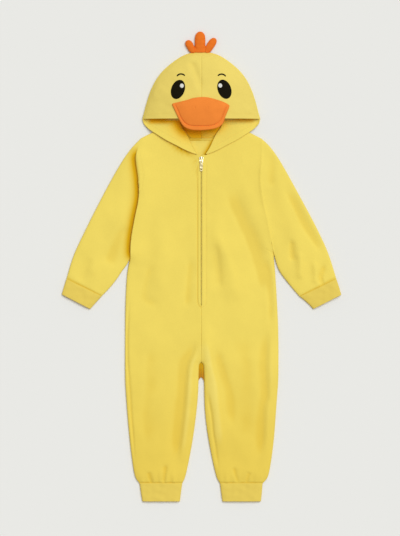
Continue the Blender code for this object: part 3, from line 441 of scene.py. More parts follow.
def fleece(name, colour, shade_colour, deep_shadow_colour, fibre, cloud, faded=None):
    """Brushed fleece: cloudy dye, tufts of fibre and a soft sheen.

    The piece's painted-tone share turns its colour to the painted tone: painted light on
    the body's ridges and inside the neckline, painted shade on the hood's dome. Its
    painted-shade share turns that to the shade colour at 1 and to the deep shadow colour at 2.
    """
    paint = Paint(name, Roughness=0.92, Sheen_Weight=0.12, Sheen_Roughness=0.45,
                  Sheen_Tint=toned(colour, 1.15), Specular_IOR_Level=0.12)
    clouds = paint.noise(0.075, 2.0)
    tufts = paint.noise(fibre, 4.0, 0.65)
    fine = paint.noise(fibre / 3.5, 2.0, 0.6)
    tone = clouds * 0.45 + tufts * 0.4 + fine * 0.15

    def brushed(dye):
        return paint.mix(toned(dye, 1 - cloud), toned(dye, 1 + cloud), tone)

    open_pile = brushed(colour)
    # Painted tone: painted light on the body, painted shade on the hood's dome
    if faded is not None:
        open_pile = paint.mix(open_pile, brushed(faded), paint.attribute("faded"))
    # Painted shade, and deeper painted shadow where the share passes 1
    pressed = paint.attribute("pressed")
    in_shade = paint.mix(open_pile, toned(shade_colour, 1.0), pressed)
    paint.paint("Base Color", paint.mix(in_shade, toned(deep_shadow_colour, 1.0), pressed - 1.0))
    paint.paint("Roughness", tufts * 0.12 + 0.85)
    paint.emboss(tufts * 0.75 + fine * 0.25, fibre * 0.45, 0.55)
    return paint.material


def felt(name, colour):
    """Pressed felt: short matted fibre with faint mottling."""
    paint = Paint(name, Roughness=0.9, Sheen_Weight=0.05, Sheen_Roughness=0.5,
                  Sheen_Tint=toned(colour, 1.3), Specular_IOR_Level=0.1)
    mottling = paint.noise(0.02, 3.0)
    fibre = paint.noise(0.0016, 5.0, 0.7)
    paint.paint("Base Color", paint.mix(toned(colour, 0.84), toned(colour, 1.14),
                                        mottling * 0.5 + fibre * 0.5))
    paint.emboss(fibre, 0.0005, 0.6)
    return paint.material


def satin_thread(name, colour, turn, pitch=0.0009):
    """Satin stitch: close parallel threads, turned on the piece."""
    paint = Paint(name, Roughness=0.62, Specular_IOR_Level=0.05)
    turned = paint.node("ShaderNodeMapping", {}, {"Vector": paint.place(),
                                                  "Rotation": (0.0, 0.0, turn)})
    threads = paint.node("ShaderNodeTexWave", {"bands_direction": "Y"},
                         {"Vector": turned, "Scale": 0.314 / pitch, "Distortion": 0.6,
                          "Detail": 1.0}, output="Fac")
    paint.paint("Base Color", paint.mix(toned(colour, 0.6), toned(colour, 1.5), threads))
    paint.emboss(threads, 0.0002, 0.7)
    return paint.material


def woven(name, colour):
    """Woven tape: fine ribs across its length."""
    paint = Paint(name, Roughness=0.75, Specular_IOR_Level=0.25)
    ribs = paint.node("ShaderNodeTexWave", {"bands_direction": "Y"},
                      {"Vector": paint.place(), "Scale": 0.314 / 0.0008}, output="Fac")
    fibre = paint.noise(0.001, 3.0)
    paint.paint("Base Color", paint.mix(toned(colour, 0.8), toned(colour, 1.15),
                                        ribs * 0.6 + fibre * 0.4))
    paint.emboss(ribs, 0.0002, 0.6)
    return paint.material


def twisted_thread(name, colour):
    """Sewing thread with its twist."""
    paint = Paint(name, Roughness=0.6, Sheen_Weight=0.1, Specular_IOR_Level=0.35)
    fibre = paint.noise(0.0006, 3.0)
    paint.paint("Base Color", paint.mix(toned(colour, 0.82), toned(colour, 1.15), fibre))
    paint.emboss(fibre, 0.0001, 0.5)
    return paint.material


def polished_metal(name, colour):
    """Die-cast metal, polished and faintly scratched."""
    paint = Paint(name, Metallic=0.75, Roughness=0.3)
    grain = paint.noise(0.0012, 4.0)
    wear = paint.noise(0.004, 2.0)
    paint.paint("Base Color", paint.mix(toned(colour, 0.85), toned(colour, 1.2), wear))
    paint.paint("Roughness", grain * 0.2 + 0.26)
    paint.emboss(grain, 0.00004, 0.4)
    return paint.material


def floor_paint(name, colour):
    """Matt floor, all but even."""
    paint = Paint(name, Roughness=0.95, Specular_IOR_Level=0.1)
    cloud = paint.noise(0.6, 2.0)
    paint.paint("Base Color", paint.mix(toned(colour, 0.995), toned(colour, 1.005), cloud))
    return paint.material


def material(name, make, *arguments):
    """The material of that name, made once."""
    return bpy.data.materials.get(name) or make(name, *arguments)


def body_paint():
    cloth = bpy.context.scene.pajama_cloth
    return material("body_fleece", fleece, cloth.body_colour, cloth.body_shade_colour,
                    cloth.body_deep_shadow_colour, cloth.fibre, 0.12, cloth.painted_light_colour)


def cuff_paint():
    cloth = bpy.context.scene.pajama_cloth
    return material("cuff_fleece", fleece, cloth.cuff_colour, cloth.body_shade_colour,
                    cloth.body_deep_shadow_colour, cloth.fibre * 0.7, 0.096)


def metal_paint():
    return material("cast_metal", polished_metal, bpy.context.scene.pajama_zip.metal_colour)


# ---------------------------------------------------------------- plan geometry

def smooth(t):
    """A soft step from 0 at 0 to 1 at 1."""
    t = np.clip(t, 0.0, 1.0)
    return t * t * (3.0 - 2.0 * t)


def bell(away, width):
    """1 on a line, falling softly to 0 beside it."""
    return np.exp(-(away / width) ** 2)


def faded_ends(share, part):
    """1 along a line, falling to 0 over a part of its length at each end."""
    return smooth(share / part) * smooth((1 - share) / part)


def travelled(line):
    """The distance along a line to each of its points."""
    return np.concatenate(([0.0], np.cumsum(np.hypot(*np.diff(line, axis=0).T))))


def curved(points):
    """Points on a smooth curve through a path's points."""
    p = np.array(points, float)
    ends = np.vstack((2 * p[0] - p[1], p, 2 * p[-1] - p[-2]))
    out = []
    for a, b, c, d in zip(ends, ends[1:], ends[2:], ends[3:]):
        for k in range(PATH_SAMPLES):
            t = k / PATH_SAMPLES
            out.append(0.5 * (2 * b + (c - a) * t + (2 * a - 5 * b + 4 * c - d) * t ** 2
                              + (3 * b - a - 3 * c + d) * t ** 3))
    return np.array(out + [p[-1]])


def from_path(path, x, y):
    """Distance of points from a path, positive on its left, and their share of its length."""
    runs = np.diff(path, axis=0)
    lengths = np.hypot(*runs.T)
    before = travelled(path)
    nearest = np.full(len(x), np.inf)
    side, share = np.ones(len(x)), np.zeros(len(x))
    for (ax, ay), (rx, ry), length, start in zip(path, runs, lengths, before):
        t = np.clip(((x - ax) * rx + (y - ay) * ry) / length ** 2, 0.0, 1.0)
        dx, dy = x - ax - t * rx, y - ay - t * ry
        away = np.hypot(dx, dy)
        closer = away < nearest
        nearest = np.where(closer, away, nearest)
        side = np.where(closer, np.sign(rx * dy - ry * dx), side)
        share = np.where(closer, (start + t * length) / before[-1], share)
    return nearest * side, share


def crease_height(crease, x, y):
    away, share = from_path(curved(crease.points), x, y)
    width = np.where(away > 0, crease.left, crease.right)
    return crease.height * bell(away, width) * faded_ends(share, FADE)


def creased(creases, x, y, depth):
    """Height of these folds together."""
    return depth * sum(crease_height(crease, x, y) for crease in creases)


def waves(x, y, size, seed, count=14):
    """Soft unevenness of about one size, between about -1 and 1, the same on each run."""
    chance = np.random.default_rng(seed)
    turn, stretch, phase = chance.uniform((0, 0.7, 0), (math.tau, 1.5, math.tau), (count, 3)).T
    reach = math.tau / (size * stretch)
    total = sum(np.sin(x * r * math.cos(a) + y * r * math.sin(a) + p)
                for r, a, p in zip(reach, turn, phase))
    return total / math.sqrt(count)


def beside(lines, x, y, width):
    """1 on any of these lines, falling to 0 beside them."""
    return np.max([bell(from_path(curved(line), x, y)[0], width) for line in lines], axis=0)


# ---------------------------------------------------------------- cloth pieces

def activate(obj):
    bpy.ops.object.select_all(action="DESELECT")
    obj.select_set(True)
    bpy.context.view_layer.objects.active = obj


def apply_modifier(obj, kind, **settings):
    modifier = obj.modifiers.new(kind, kind)
    for name, value in settings.items():
        setattr(modifier, name, value)
    activate(obj)
    bpy.ops.object.modifier_apply(modifier=modifier.name)


def read_points(mesh):
    points = np.empty(len(mesh.vertices) * 3)
    normals = np.empty(len(mesh.vertices) * 3)
    mesh.vertices.foreach_get("co", points)
    mesh.vertices.foreach_get("normal", normals)
    return points.reshape(-1, 3) / MM, normals.reshape(-1, 3)


def write_points(mesh, points):
    mesh.vertices.foreach_set("co", (points * MM).ravel())
    mesh.update()


def tree_of(points, indices):
    """A search tree of the points with these indices."""
    tree = KDTree(len(indices))
    for index in indices:
        tree.insert(points[index], index)
    tree.balance()
    return tree


def rounded_copy(node, rounding):
    """A CAD piece as a new object: merged, its triangles joined, and subdivided."""
    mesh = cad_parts[node].data.copy()
    mesh.name = node + "_cloth"
    mesh.materials.clear()
    piece = bpy.data.objects.new(node + "_cloth", mesh)
    bpy.context.scene.collection.objects.link(piece)
    activate(piece)
    bpy.ops.mesh.customdata_custom_splitnormals_clear()
    cloth = bmesh.new()
    cloth.from_mesh(mesh)
    bmesh.ops.remove_doubles(cloth, verts=cloth.verts, dist=MERGE)
    bmesh.ops.join_triangles(cloth, faces=cloth.faces, angle_face_threshold=math.radians(35),
                             angle_shape_threshold=math.radians(70))
    sharpness = (cloth.edges.layers.float.get("crease_edge")
                 or cloth.edges.layers.float.new("crease_edge"))
    others = {name for pair in SEWN if node in pair for name in pair} - {node}
    neighbours = [vertex.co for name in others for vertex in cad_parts[name].data.vertices]
    tree = tree_of(neighbours, range(len(neighbours)))
    sewn = {vertex for vertex in cloth.verts
            if neighbours and tree.find(vertex.co)[2] < SEWN_REACH * MM}
    for edge in cloth.edges:
        if edge.is_manifold and edge.calc_face_angle() > SHARP:
            crisp = sewn.issuperset(edge.verts)
            edge[sharpness] = 1.0 if crisp else CREASED
            edge.smooth = not crisp
    cloth.to_mesh(mesh)
    cloth.free()
    apply_modifier(piece, "SUBSURF", levels=rounding, render_levels=rounding)
    bpy.ops.object.shade_smooth()
    return piece


def upper_share(points, normals):
    """How much of the upper layer's shift a point takes: none at the side seams and below."""
    height = np.where(normals[:, 2] >= 0, 3.0, 3.0 - WALL + 0.9)
    return smooth((points[:, 2] - SIDE_Z) / height)


def lift(points, normals, shift):
    """Shifts the upper layer by heights, and keeps it off the layer below."""
    lowest = np.where(normals[:, 2] >= 0, LOWEST_OUTSIDE, LOWEST_OUTSIDE - WALL)
    moved = points[:, 2] + shift * upper_share(points, normals)
    room = points[:, 2] - lowest
    over = points[:, 2] - moved
    kept = np.where((over > 0) & (room > 0.05), room * np.tanh(over / np.maximum(room, 0.05)),
                    over)
    points[:, 2] = np.where(points[:, 2] > SIDE_Z + 0.3, points[:, 2] - kept, moved)


def upper_layer(z):
    """1 on cloth that lies over the back, 0 on the back and on a tube's underside."""
    return smooth((z - OVER_BACK_Z) / LAYER_FADE)


def lower_layer(z):
    """1 on the back and on a tube's underside, 0 from the side seams up."""
    return smooth((SIDE_Z - z) / LAYER_FADE)


def faces_up(normals):
    """1 on cloth that faces up, 0 on a steep or lower face."""
    return smooth((normals[:, 2] - 0.2) / 0.3)


def arm_step(points):
    """Height, sideways shift and shadow where the body's edge folds over the right sleeve."""
    away, share = from_path(curved(ARM_STEP), points[:, 0], points[:, 1])
    fade = faded_ends(share, ARM_STEP_FADE)
    body = smooth((away + ARM_STEP_EDGE) / (2 * ARM_STEP_EDGE))
    height = (body * ARM_STEP_RISE * bell(away, ARM_STEP_BODY)
              - (1 - body) * ARM_STEP_DROP * bell(away, ARM_STEP_SLEEVE))
    hang = ARM_STEP_OVERHANG * bell(away - 1.6, 2.2)
    shaded = (1 - smooth((away + 1) / 2)) * bell(away, ARM_STEP_SHADE)
    return height * fade, -hang * fade, shaded * fade


def general_relief(x, y, settings):
    """Unevenness and sewn seams that all flat cloth shares, in millimetres."""
    uneven = waves(x, y, size=80, seed=3) + 0.35 * waves(x, y, size=24, seed=4)
    return (settings.unevenness / MM * uneven
            - ARMHOLE_DEPTH * beside([ARMHOLE_RIGHT], x, y, ARMHOLE_WIDTH / 2)
            + ARMHOLE_RIDGE * beside([ARMHOLE_LEFT], x, y, ARMHOLE_WIDTH)
            - SEAM_DEPTH * beside(CUFF_SEAMS, x, y, SEAM_WIDTH))


def gathers(x, y):
    """Small pleats that run up from the legs' gathered seams."""
    along = np.clip((y - LEG_SEAM_Y) / GATHER_REACH, 0, 1)
    pleats = np.maximum(waves(x, y * 0.12, size=15, seed=8), -1.2)
    return GATHER_HEIGHT * smooth(1 - along) * pleats


def seam_shade(x, y):
    """Painted shade in the cuffs' seams."""
    return SEAM_SHADE_SHARE * beside(CUFF_SEAMS, x, y, SEAM_SHADE_WIDTH)


def painted_shade_share(shift, points, shaded):
    """Painted shade: darker down the legs, painted shade in troughs, painted shadow beside the
    step.
    """
    down_the_legs = LEG_DARKENING * smooth((-60 - points[:, 1]) / 400) ** 1.3
    trough = TROUGH_SHADE * smooth((-shift - 0.6) / 3.2)
    return np.maximum(down_the_legs + trough, STEP_SHADOW * shaded) * upper_layer(points[:, 2])


def shape_front(points, normals, settings):
    """Folds, gathers, the step over the sleeve, the zip's placket and the seam below it.
    Paints shade in troughs, seams, beside the step, along the placket and under the lapel,
    and highlights on ridges.
    """
    x, y, _ = points.T.copy()
    step, hang, shaded = arm_step(points)
    shift = (general_relief(x, y, settings) + gathers(x, y) + step
             + creased(BODY_CREASES, x, y, settings.crease_depth))
    from_zip = np.abs(x)
    zipped = smooth((y - ZIP_END_Y) / 10)
    shift *= 1 - zipped * smooth((FLAT_BESIDE_ZIP - from_zip) / 9)
    placket = beside([PLACKET], x, y, PLACKET_WIDTH)
    shift += (zipped * LIP_HEIGHT * bell(from_zip - LIP_PLACE, LIP_WIDTH)
              - np.where(x < 0, PLACKET_DEPTH_RIGHT, PLACKET_DEPTH_LEFT) * placket
              - (1 - zipped) * CENTRE_SEAM_DEPTH * bell(from_zip, CENTRE_SEAM_WIDTH))
    lift(points, normals, shift)
    points[:, 0] += hang * upper_share(points, normals)
    closing = 1.15 * smooth((-81 - y) / 3) * np.exp(-(x / 3.5) ** 4)
    points[:, 0] = np.sign(x) * np.maximum(np.abs(points[:, 0]) - closing, SEWN_GAP / 2)
    # Painted shade along the placket's right line and in the cuff seams
    lines = 0.45 * placket * (x < 0) + seam_shade(x, y)
    # Painted shadow of the wearer's right lapel on the chest
    under_lapel = 1.1 * beside([LAPEL_EDGE], x, y, 6.0) * bell(x + 42, 24)
    lines = np.maximum(lines, under_lapel * upper_layer(points[:, 2]))
    # Painted shade, and painted highlights on the legs' ridges
    return {"pressed": np.maximum(painted_shade_share(shift, points, shaded), lines),
            "faded": 0.45 * smooth((shift - 1.2) / 3) * smooth((-80 - y) / 60)}


def neck_shade_share(x, y):
    """Painted shade inside the neck: most under the beak, and as a shadow beside the lapel."""
    band = ((0.6 + 0.3 * smooth((2 - x) / 4)) * smooth((y - NECK_BAND_Y) / 1.2)
            + 0.5 * smooth((y - 281) / 13))
    edge = beside([NECK_EDGE], x, y, 8) + 0.6 * beside([NECK_EDGE], x, y, 2.5)
    return (smooth((y - NECK_LOW_Y) / 10) * np.maximum(band, edge)
            * smooth((52 - np.abs(x)) / 6))


def shape_back(points, normals, settings):
    """Folds of the underside; the back's edge drawn into the gap between the legs as a dark
    sheet for its shadow; painted shade in the neck and between the legs; painted light
    inside the neckline.
    """
    x, y, _ = points.T.copy()
    rise = (0.25 + 0.25 * waves(x, y, size=60, seed=5)
            + creased(BACK_CREASES, x, y, settings.crease_depth))
    points[:, 2] += np.maximum(rise, 0) * lower_layer(points[:, 2])
    shadow_sheet = (smooth((SHADOW_SHEET_HALF_WIDTH - np.abs(x)) / 0.9)
              * (y < SHADOW_SHEET_TOP_Y) * (y > SHADOW_SHEET_LOW_Y))
    points[:, 1] -= SHADOW_SHEET_LENGTH * shadow_sheet
    points[:, 0] *= 1 + SHADOW_SHEET_WIDENING * shadow_sheet
    # Painted shade between the legs, deepest on the sheet drawn into the gap
    in_shade = (smooth((-190 - y) / 12) * smooth((y + 310) / 60) * bell(x, 12)
               * (1 + smooth((-213 - y) / 5) * shadow_sheet))
    pressed = np.maximum(np.maximum(neck_shade_share(x, y), in_shade), 2 * shadow_sheet)
    # Painted shade in the neck and between the legs; painted light inside the neckline
    return {"pressed": faces_up(normals) * pressed,
            "faded": smooth((y - NECK_LOW_Y) / 8) * smooth((272 - y) / 3)}


def shape_sleeve(creases):
    """The function that shapes a sleeve with these folds."""
    def shape(points, normals, settings):
        x, y, _ = points.T.copy()
        step, hang, shaded = arm_step(points)
        shift = (general_relief(x, y, settings) + step
                 + creased(creases, x, y, settings.crease_depth))
        lift(points, normals, shift)
        points[:, 0] += hang * upper_share(points, normals)
        under = 0.25 + 0.4 * waves(x, y, size=48, seed=6)
        points[:, 2] += lower_layer(points[:, 2]) * np.maximum(under, 0)
        # Painted shade in troughs and seams, and painted shadow beside the step
        return {"pressed": np.maximum(painted_shade_share(shift, points, shaded), seam_shade(x, y))}
    return shape


def shape_cuff(points, normals, settings):
    """Slight waves, and the seam that draws the band in."""
    x, y, _ = points.T.copy()
    seam = SEAM_DEPTH * beside(CUFF_SEAMS, x, y, SEAM_WIDTH)
    lift(points, normals, 0.35 * waves(x, y, size=16, seed=7) - seam)
    # Painted shade in the seam
    return {"pressed": seam_shade(x, y)}


def shape_hood(points, normals, settings):
    """The dome's unevenness, seam and crease; painted shade inside the hood, under its rim,
    in the neck and under the beak, and a painted darker tone on the dome.
    """
    x, y, z = points.T.copy()
    dome = smooth((z - DOME_Z) / 8) * smooth((y - RIM_Y + 14) / 10)
    shift = (0.7 * waves(x, y, size=60, seed=11) + 0.25 * waves(x, y, size=21, seed=12)
             - HOOD_SEAM_DEPTH * bell(x, HOOD_SEAM_WIDTH) + crease_height(HOOD_CREASE, x, y))
    points[:, 2] += shift * dome
    # Painted shade on the dome's inner face
    inside = smooth((-0.15 - normals[:, 2]) / 0.3) * smooth((z - 6) / 3)
    below_rim = np.maximum(smooth((RIM_Y - 2 - y) / 2), smooth((DOME_Z - z) / 2))
    # Painted shadows of the beak and of the rim on the cloth below them
    away, _ = from_path(curved(BEAK_BOTTOM), x, y)
    under_beak = np.where(x < 0, 1.5 * bell(away, 19), 0.6 * bell(away, 12))
    under_rim = (np.where(x < 0, smooth((y - RIM_Y + 14) / 9),
                          0.7 * smooth((y - RIM_Y + 10) / 7))
                 * smooth((118 - np.hypot(x, y - RIM_Y)) / 12))
    nape = neck_shade_share(x, y) * smooth((6.5 - z) / 1.5)
    shade_beneath = np.maximum(np.maximum(under_beak, under_rim), nape)
    # Painted shade, and the painted darker tone of the dome
    return {"pressed": np.maximum(inside, faces_up(normals) * below_rim * shade_beneath),
            "faded": smooth((y - RIM_Y + 3) / 3) * smooth((z - DOME_Z + 2) / 2)}


def round_edge(away, radius):
    """A quarter circle, from 0 at an edge to 1 at its radius and beyond."""
    return np.sqrt(1 - (1 - np.minimum(away / radius, 1)) ** 2)


def beak_profile(x, y):
    """Height of the beak's upper face over the hood: a flat sewn flange round a soft puff."""
    low, _ = from_path(curved(BEAK_BOTTOM), x, y)
    top, _ = from_path(curved(BEAK_TOP), x, y)
    seam, _ = from_path(curved(BEAK_SEAM), x, y)
    low, top = np.abs(low), np.abs(top)
    puff = 1 - np.exp(-(np.maximum(seam, 0) / BEAK_PUFF_REACH) ** 1.25)
    under = (BEAK_FLANGE_THICK * round_edge(low, BEAK_FLANGE_ROUND) + BEAK_PUFF * puff
             - BEAK_GROOVE_DEPTH * bell(seam, BEAK_GROOVE_WIDTH))
    over = (BEAK_TOP_THICK * round_edge(top, BEAK_TOP_ROUND)
            + (BEAK_PUFF + 2.4) * (1 - np.exp(-(top / 11) ** 1.15)))
    height = (-BEAK_BLEND * np.logaddexp(-under / BEAK_BLEND, -over / BEAK_BLEND)
              + BEAK_BLEND / 4 * math.log(2))
    for nostril in NOSTRILS:
        away, share = from_path(np.array(nostril, float), x, y)
        height -= NOSTRIL_DEPTH * bell(away, NOSTRIL_WIDTH) * (
            0.4 + 0.6 * np.sin(np.pi * share))
    return np.maximum(height, 0.0) + 0.12 * waves(x, y, size=24, seed=13)


def smooth_seat(hood):
    """A smooth surface that lies on the hood under the beak, without its seam."""
    xs, ys = (grid.ravel() for grid in np.meshgrid(np.arange(-57, 58, 6.0),
                                                   np.arange(RIM_Y + 6, 356, 5.0)))
    heights = np.array([hood(x, y) for x, y in zip(xs, ys)])

    def terms(x, y):
        x, y = x / 60, (y - 340) / 25
        return np.column_stack((np.ones_like(x), x, y, x * x, x * y, y * y, x * x * y,
                                x ** 3, x ** 4))

    shares = np.linalg.lstsq(terms(xs, ys), heights, rcond=None)[0]
    over = np.max(heights - terms(xs, ys) @ shares)

    def seat(x, y):
        y = RIM_Y + 4 + 3 * np.logaddexp(0, (y - RIM_Y - 4) / 3)
        return float((terms(np.array([x]), np.array([y])) @ shares)[0] + over)
    return seat


def beak_mesh(seat):
    """The beak as one closed shell: rings round its centre above, and again below."""
    loop = np.vstack((curved(BEAK_TOP)[:-1], curved(BEAK_BOTTOM)))
    run = travelled(loop)
    places = np.linspace(0, run[-1], BEAK_ROUND, endpoint=False)
    outline = np.column_stack([np.interp(places, run, loop[:, k]) for k in (0, 1)])
    shares = 1 - (1 - np.linspace(0, 1, BEAK_RINGS + 1)[1:]) ** 1.25
    centre = np.array(BEAK_CENTRE)
    plan = np.vstack([centre] + [centre + (outline - centre) * share for share in shares])
    rest = np.array([seat(x, y) for x, y in plan])
    upper = np.column_stack((plan, rest + BEAK_SEAT + BEAK_WALL + beak_profile(*plan.T)))
    lower = np.column_stack((plan, rest + BEAK_SEAT))[:-BEAK_ROUND]
    points = np.vstack((upper, lower))
    faces, shift = [], len(upper)
    rim = 1 + (BEAK_RINGS - 1) * BEAK_ROUND
    for k in range(BEAK_ROUND):
        n = (k + 1) % BEAK_ROUND
        faces.append((0, 1 + n, 1 + k))
        faces.append((shift, shift + 1 + k, shift + 1 + n))
        for ring in range(BEAK_RINGS - 1):
            a, b = 1 + ring * BEAK_ROUND, 1 + (ring + 1) * BEAK_ROUND
            faces.append((a + k, a + n, b + n, b + k))
            if ring < BEAK_RINGS - 2:
                faces.append((shift + a + n, shift + a + k, shift + b + k, shift + b + n))
        inner = shift + rim - BEAK_ROUND
        faces.append((inner + n, inner + k, rim + k, rim + n))
    return points, faces


def shape_lobe(points, normals, settings):
    """Stuffed felt, wrinkled where it is caught in the seam."""
    x, y, _ = points.T.copy()
    root = smooth((474 - y) / 13)
    wrinkles = 0.5 * waves(x, y * 0.2, size=6, seed=15) - 0.9
    points[:, 2] += smooth(normals[:, 2] * 3) * (0.35 * waves(x, y, size=11, seed=14)
                                                 + root * wrinkles)
    points[:, 1] -= 1.3 * smooth((470 - y) / 7)
    return {}


def mark(piece, painted_shares):
    """Stores at each point its shares of painted shade and of painted tone."""
    for name, shares in painted_shares.items():
        layer = piece.data.attributes.new(name, "FLOAT", "POINT")
        layer.data.foreach_set("value", np.maximum(shares, 0).astype(np.float32))


def dress(node, shape, paint, rounding):
    """Makes a cloth piece from its CAD piece, shapes it and registers it."""
    piece = rounded_copy(node, rounding)
    points, normals = read_points(piece.data)
    painted_shares = shape(points, normals, bpy.context.scene.pajama_cloth)
    write_points(piece.data, points)
    mark(piece, painted_shares)
    piece.data.materials.append(paint)
    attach(piece, GARMENT)
    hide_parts(node)
    return piece


def height_finder(*pieces):
    """A function from a place in the plan to the highest cloth there, in millimetres."""
    trees = []
    for piece in pieces:
        cloth = bmesh.new()
        cloth.from_mesh(piece.data)
        trees.append(BVHTree.FromBMesh(cloth))
        cloth.free()

    def height(x, y):
        hits = [tree.ray_cast(Vector((x * MM, y * MM, 1.0)), Vector((0, 0, -1)))[0]
                for tree in trees]
        found = [hit.z for hit in hits if hit is not None]
        if not found:
            raise ValueError(f"there is no cloth at {x:.1f}, {y:.1f}")
        return max(found) / MM
    return height


def piece_named(name):
    return bpy.data.objects[name + "_cloth"]


def surface_of(name):
    """The height of a pair of cloth pieces, a right one and a left one."""
    return height_finder(piece_named(name + "_right"), piece_named(name + "_left"))


def sew(first, second):
    """Closes the gap between two sewn pieces: their matching points meet."""
    sides = [read_points(piece_named(name).data)[0] for name in (first, second)]
    low = np.maximum(*(side.min(0) for side in sides)) - SEWN_REACH
    high = np.minimum(*(side.max(0) for side in sides)) + SEWN_REACH
    near = [np.flatnonzero(((side > low) & (side < high)).all(1)) for side in sides]
    trees = [tree_of(side, found) for side, found in zip(sides, near)]
    for index in near[0]:
        _, partner, away = trees[1].find(sides[0][index])
        if away is None or away > SEWN_REACH:
            continue
        if trees[0].find(sides[1][partner])[1] != index:
            continue
        apart = sides[1][partner] - sides[0][index]
        middle = sides[0][index] + apart / 2
        inset = apart / max(away, 1e-6) * SEWN_GAP / 2
        sides[0][index], sides[1][partner] = middle - inset, middle + inset
    for name, side in zip((first, second), sides):
        write_points(piece_named(name).data, side)


# ---------------------------------------------------------------- hand-modelled pieces

def settle(obj, name, paint, body=GARMENT):
    """Brings a finished piece to the origin and registers it."""
    obj.name = obj.data.name = name
    obj.data.transform(obj.matrix_basis)
    obj.matrix_basis.identity()
    obj.data.materials.clear()
    obj.data.materials.append(paint)
    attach(obj, body)
    return obj


def from_points(name, points, faces):
    """A piece of points in millimetres and faces, shaded smooth."""
    mesh = bpy.data.meshes.new(name)
    mesh.from_pydata(points * MM, [], faces)
    piece = bpy.data.objects.new(name, mesh)
    bpy.context.scene.collection.objects.link(piece)
    activate(piece)
    bpy.ops.object.shade_smooth()
    return piece


def flat_grid(low, high, columns, rows):
    """A grid between two places in the plan, and its points."""
    bpy.ops.object.select_all(action="DESELECT")
    bpy.ops.mesh.primitive_grid_add(x_subdivisions=columns, y_subdivisions=rows, size=MM)
    grid = bpy.context.object
    points, _ = read_points(grid.data)
    for k in (0, 1):
        points[:, k] = (low[k] + high[k]) / 2 + points[:, k] * (high[k] - low[k])
    return grid, points


def thicken(grid, points, thickness):
    """Gives a shaped grid its points and a wall upwards."""
    write_points(grid.data, points)
    apply_modifier(grid, "SOLIDIFY", thickness=thickness * MM, offset=1.0)
    bpy.ops.object.shade_smooth()


def add_box(low, high):
    """A box between two corners, in millimetres, as the active object."""
    bpy.ops.object.select_all(action="DESELECT")
    low, high = Vector(low) * MM, Vector(high) * MM
    bpy.ops.mesh.primitive_cube_add(size=1.0, location=(low + high) / 2)
    box = bpy.context.object
    box.scale = high - low
    bpy.ops.object.transform_apply(location=True, rotation=False, scale=True)
    return box


def joined(pieces):
    bpy.ops.object.select_all(action="DESELECT")
    for piece in pieces:
        piece.select_set(True)
    bpy.context.view_layer.objects.active = pieces[0]
    bpy.ops.object.join()
    return pieces[0]


def edit(obj, element, test):
    """Opens a piece in edit mode, with the elements selected whose points pass a test."""
    activate(obj)
    bpy.ops.object.mode_set(mode="EDIT")
    bpy.ops.mesh.select_mode(type=element)
    bpy.ops.mesh.select_all(action="DESELECT")
    bpy.ops.object.mode_set(mode="OBJECT")
    mesh = obj.data
    for item in mesh.edges if element == "EDGE" else mesh.vertices:
        corners = item.vertices if element == "EDGE" else (item.index,)
        item.select = bool(test([mesh.vertices[index].co / MM for index in corners]))
    bpy.ops.object.mode_set(mode="EDIT")


def round_upright(obj, radius, segments, low_y=-math.inf, high_y=math.inf):
    """Rounds a plate's upright edges between two places along Y."""
    edit(obj, "EDGE", lambda ends: (ends[0].xy - ends[1].xy).length < 0.01
         and low_y < ends[0].y < high_y)
    bpy.ops.mesh.bevel(offset=radius * MM, segments=segments, affect="EDGES")
    bpy.ops.object.mode_set(mode="OBJECT")


def cut_across(obj, y, **options):
    """Cuts a piece at a place along Y."""
    edit(obj, "VERT", lambda ends: True)
    bpy.ops.mesh.bisect(plane_co=(0, y * MM, 0), plane_no=(0, 1, 0), **options)
    bpy.ops.object.mode_set(mode="OBJECT")


def carve(obj, cutter):
    """Takes a cutter's shape out of a piece."""
    apply_modifier(obj, "BOOLEAN", operation="DIFFERENCE", object=cutter, solver="EXACT")
    bpy.data.objects.remove(cutter)


def soften(obj, width):
    """Breaks the edges of a metal piece."""
    apply_modifier(obj, "BEVEL", width=width * MM, segments=2, limit_method="ANGLE",
                   angle_limit=math.radians(40))
    bpy.ops.object.shade_smooth_by_angle(angle=math.radians(40))


def lens(length, width, height):
    """A shallow domed patch around the origin, long along Y, in metres."""
    bpy.ops.object.select_all(action="DESELECT")
    bpy.ops.mesh.primitive_uv_sphere_add(segments=72, ring_count=32, radius=0.5)
    patch = bpy.context.object
    bpy.ops.object.mode_set(mode="EDIT")
    bpy.ops.mesh.select_all(action="SELECT")
    bpy.ops.mesh.bisect(plane_co=(0, 0, 0), plane_no=(0, 0, 1), clear_inner=True,
                        use_fill=True)
    bpy.ops.mesh.select_all(action="SELECT")
    bpy.ops.transform.resize(value=(width, length, 2 * height), center_override=(0, 0, 0))
    bpy.ops.object.mode_set(mode="OBJECT")
    bpy.ops.object.shade_smooth()
    return patch


def patch_on_hood(length, width, height, lean, centre, surface, lift_off=0.15):
    """A domed patch turned, placed and laid on the hood."""
    patch = lens(length, width, height)
    points, _ = read_points(patch.data)
    turned = points.copy()
    turned[:, 0] = points[:, 0] * math.cos(lean) - points[:, 1] * math.sin(lean) + centre[0]
    turned[:, 1] = points[:, 0] * math.sin(lean) + points[:, 1] * math.cos(lean) + centre[1]
    for point in turned:
        point[2] += surface(point[0], point[1]) + (lift_off if point[2] > 0.01 else -0.6)
    write_points(patch.data, turned)
    return patch


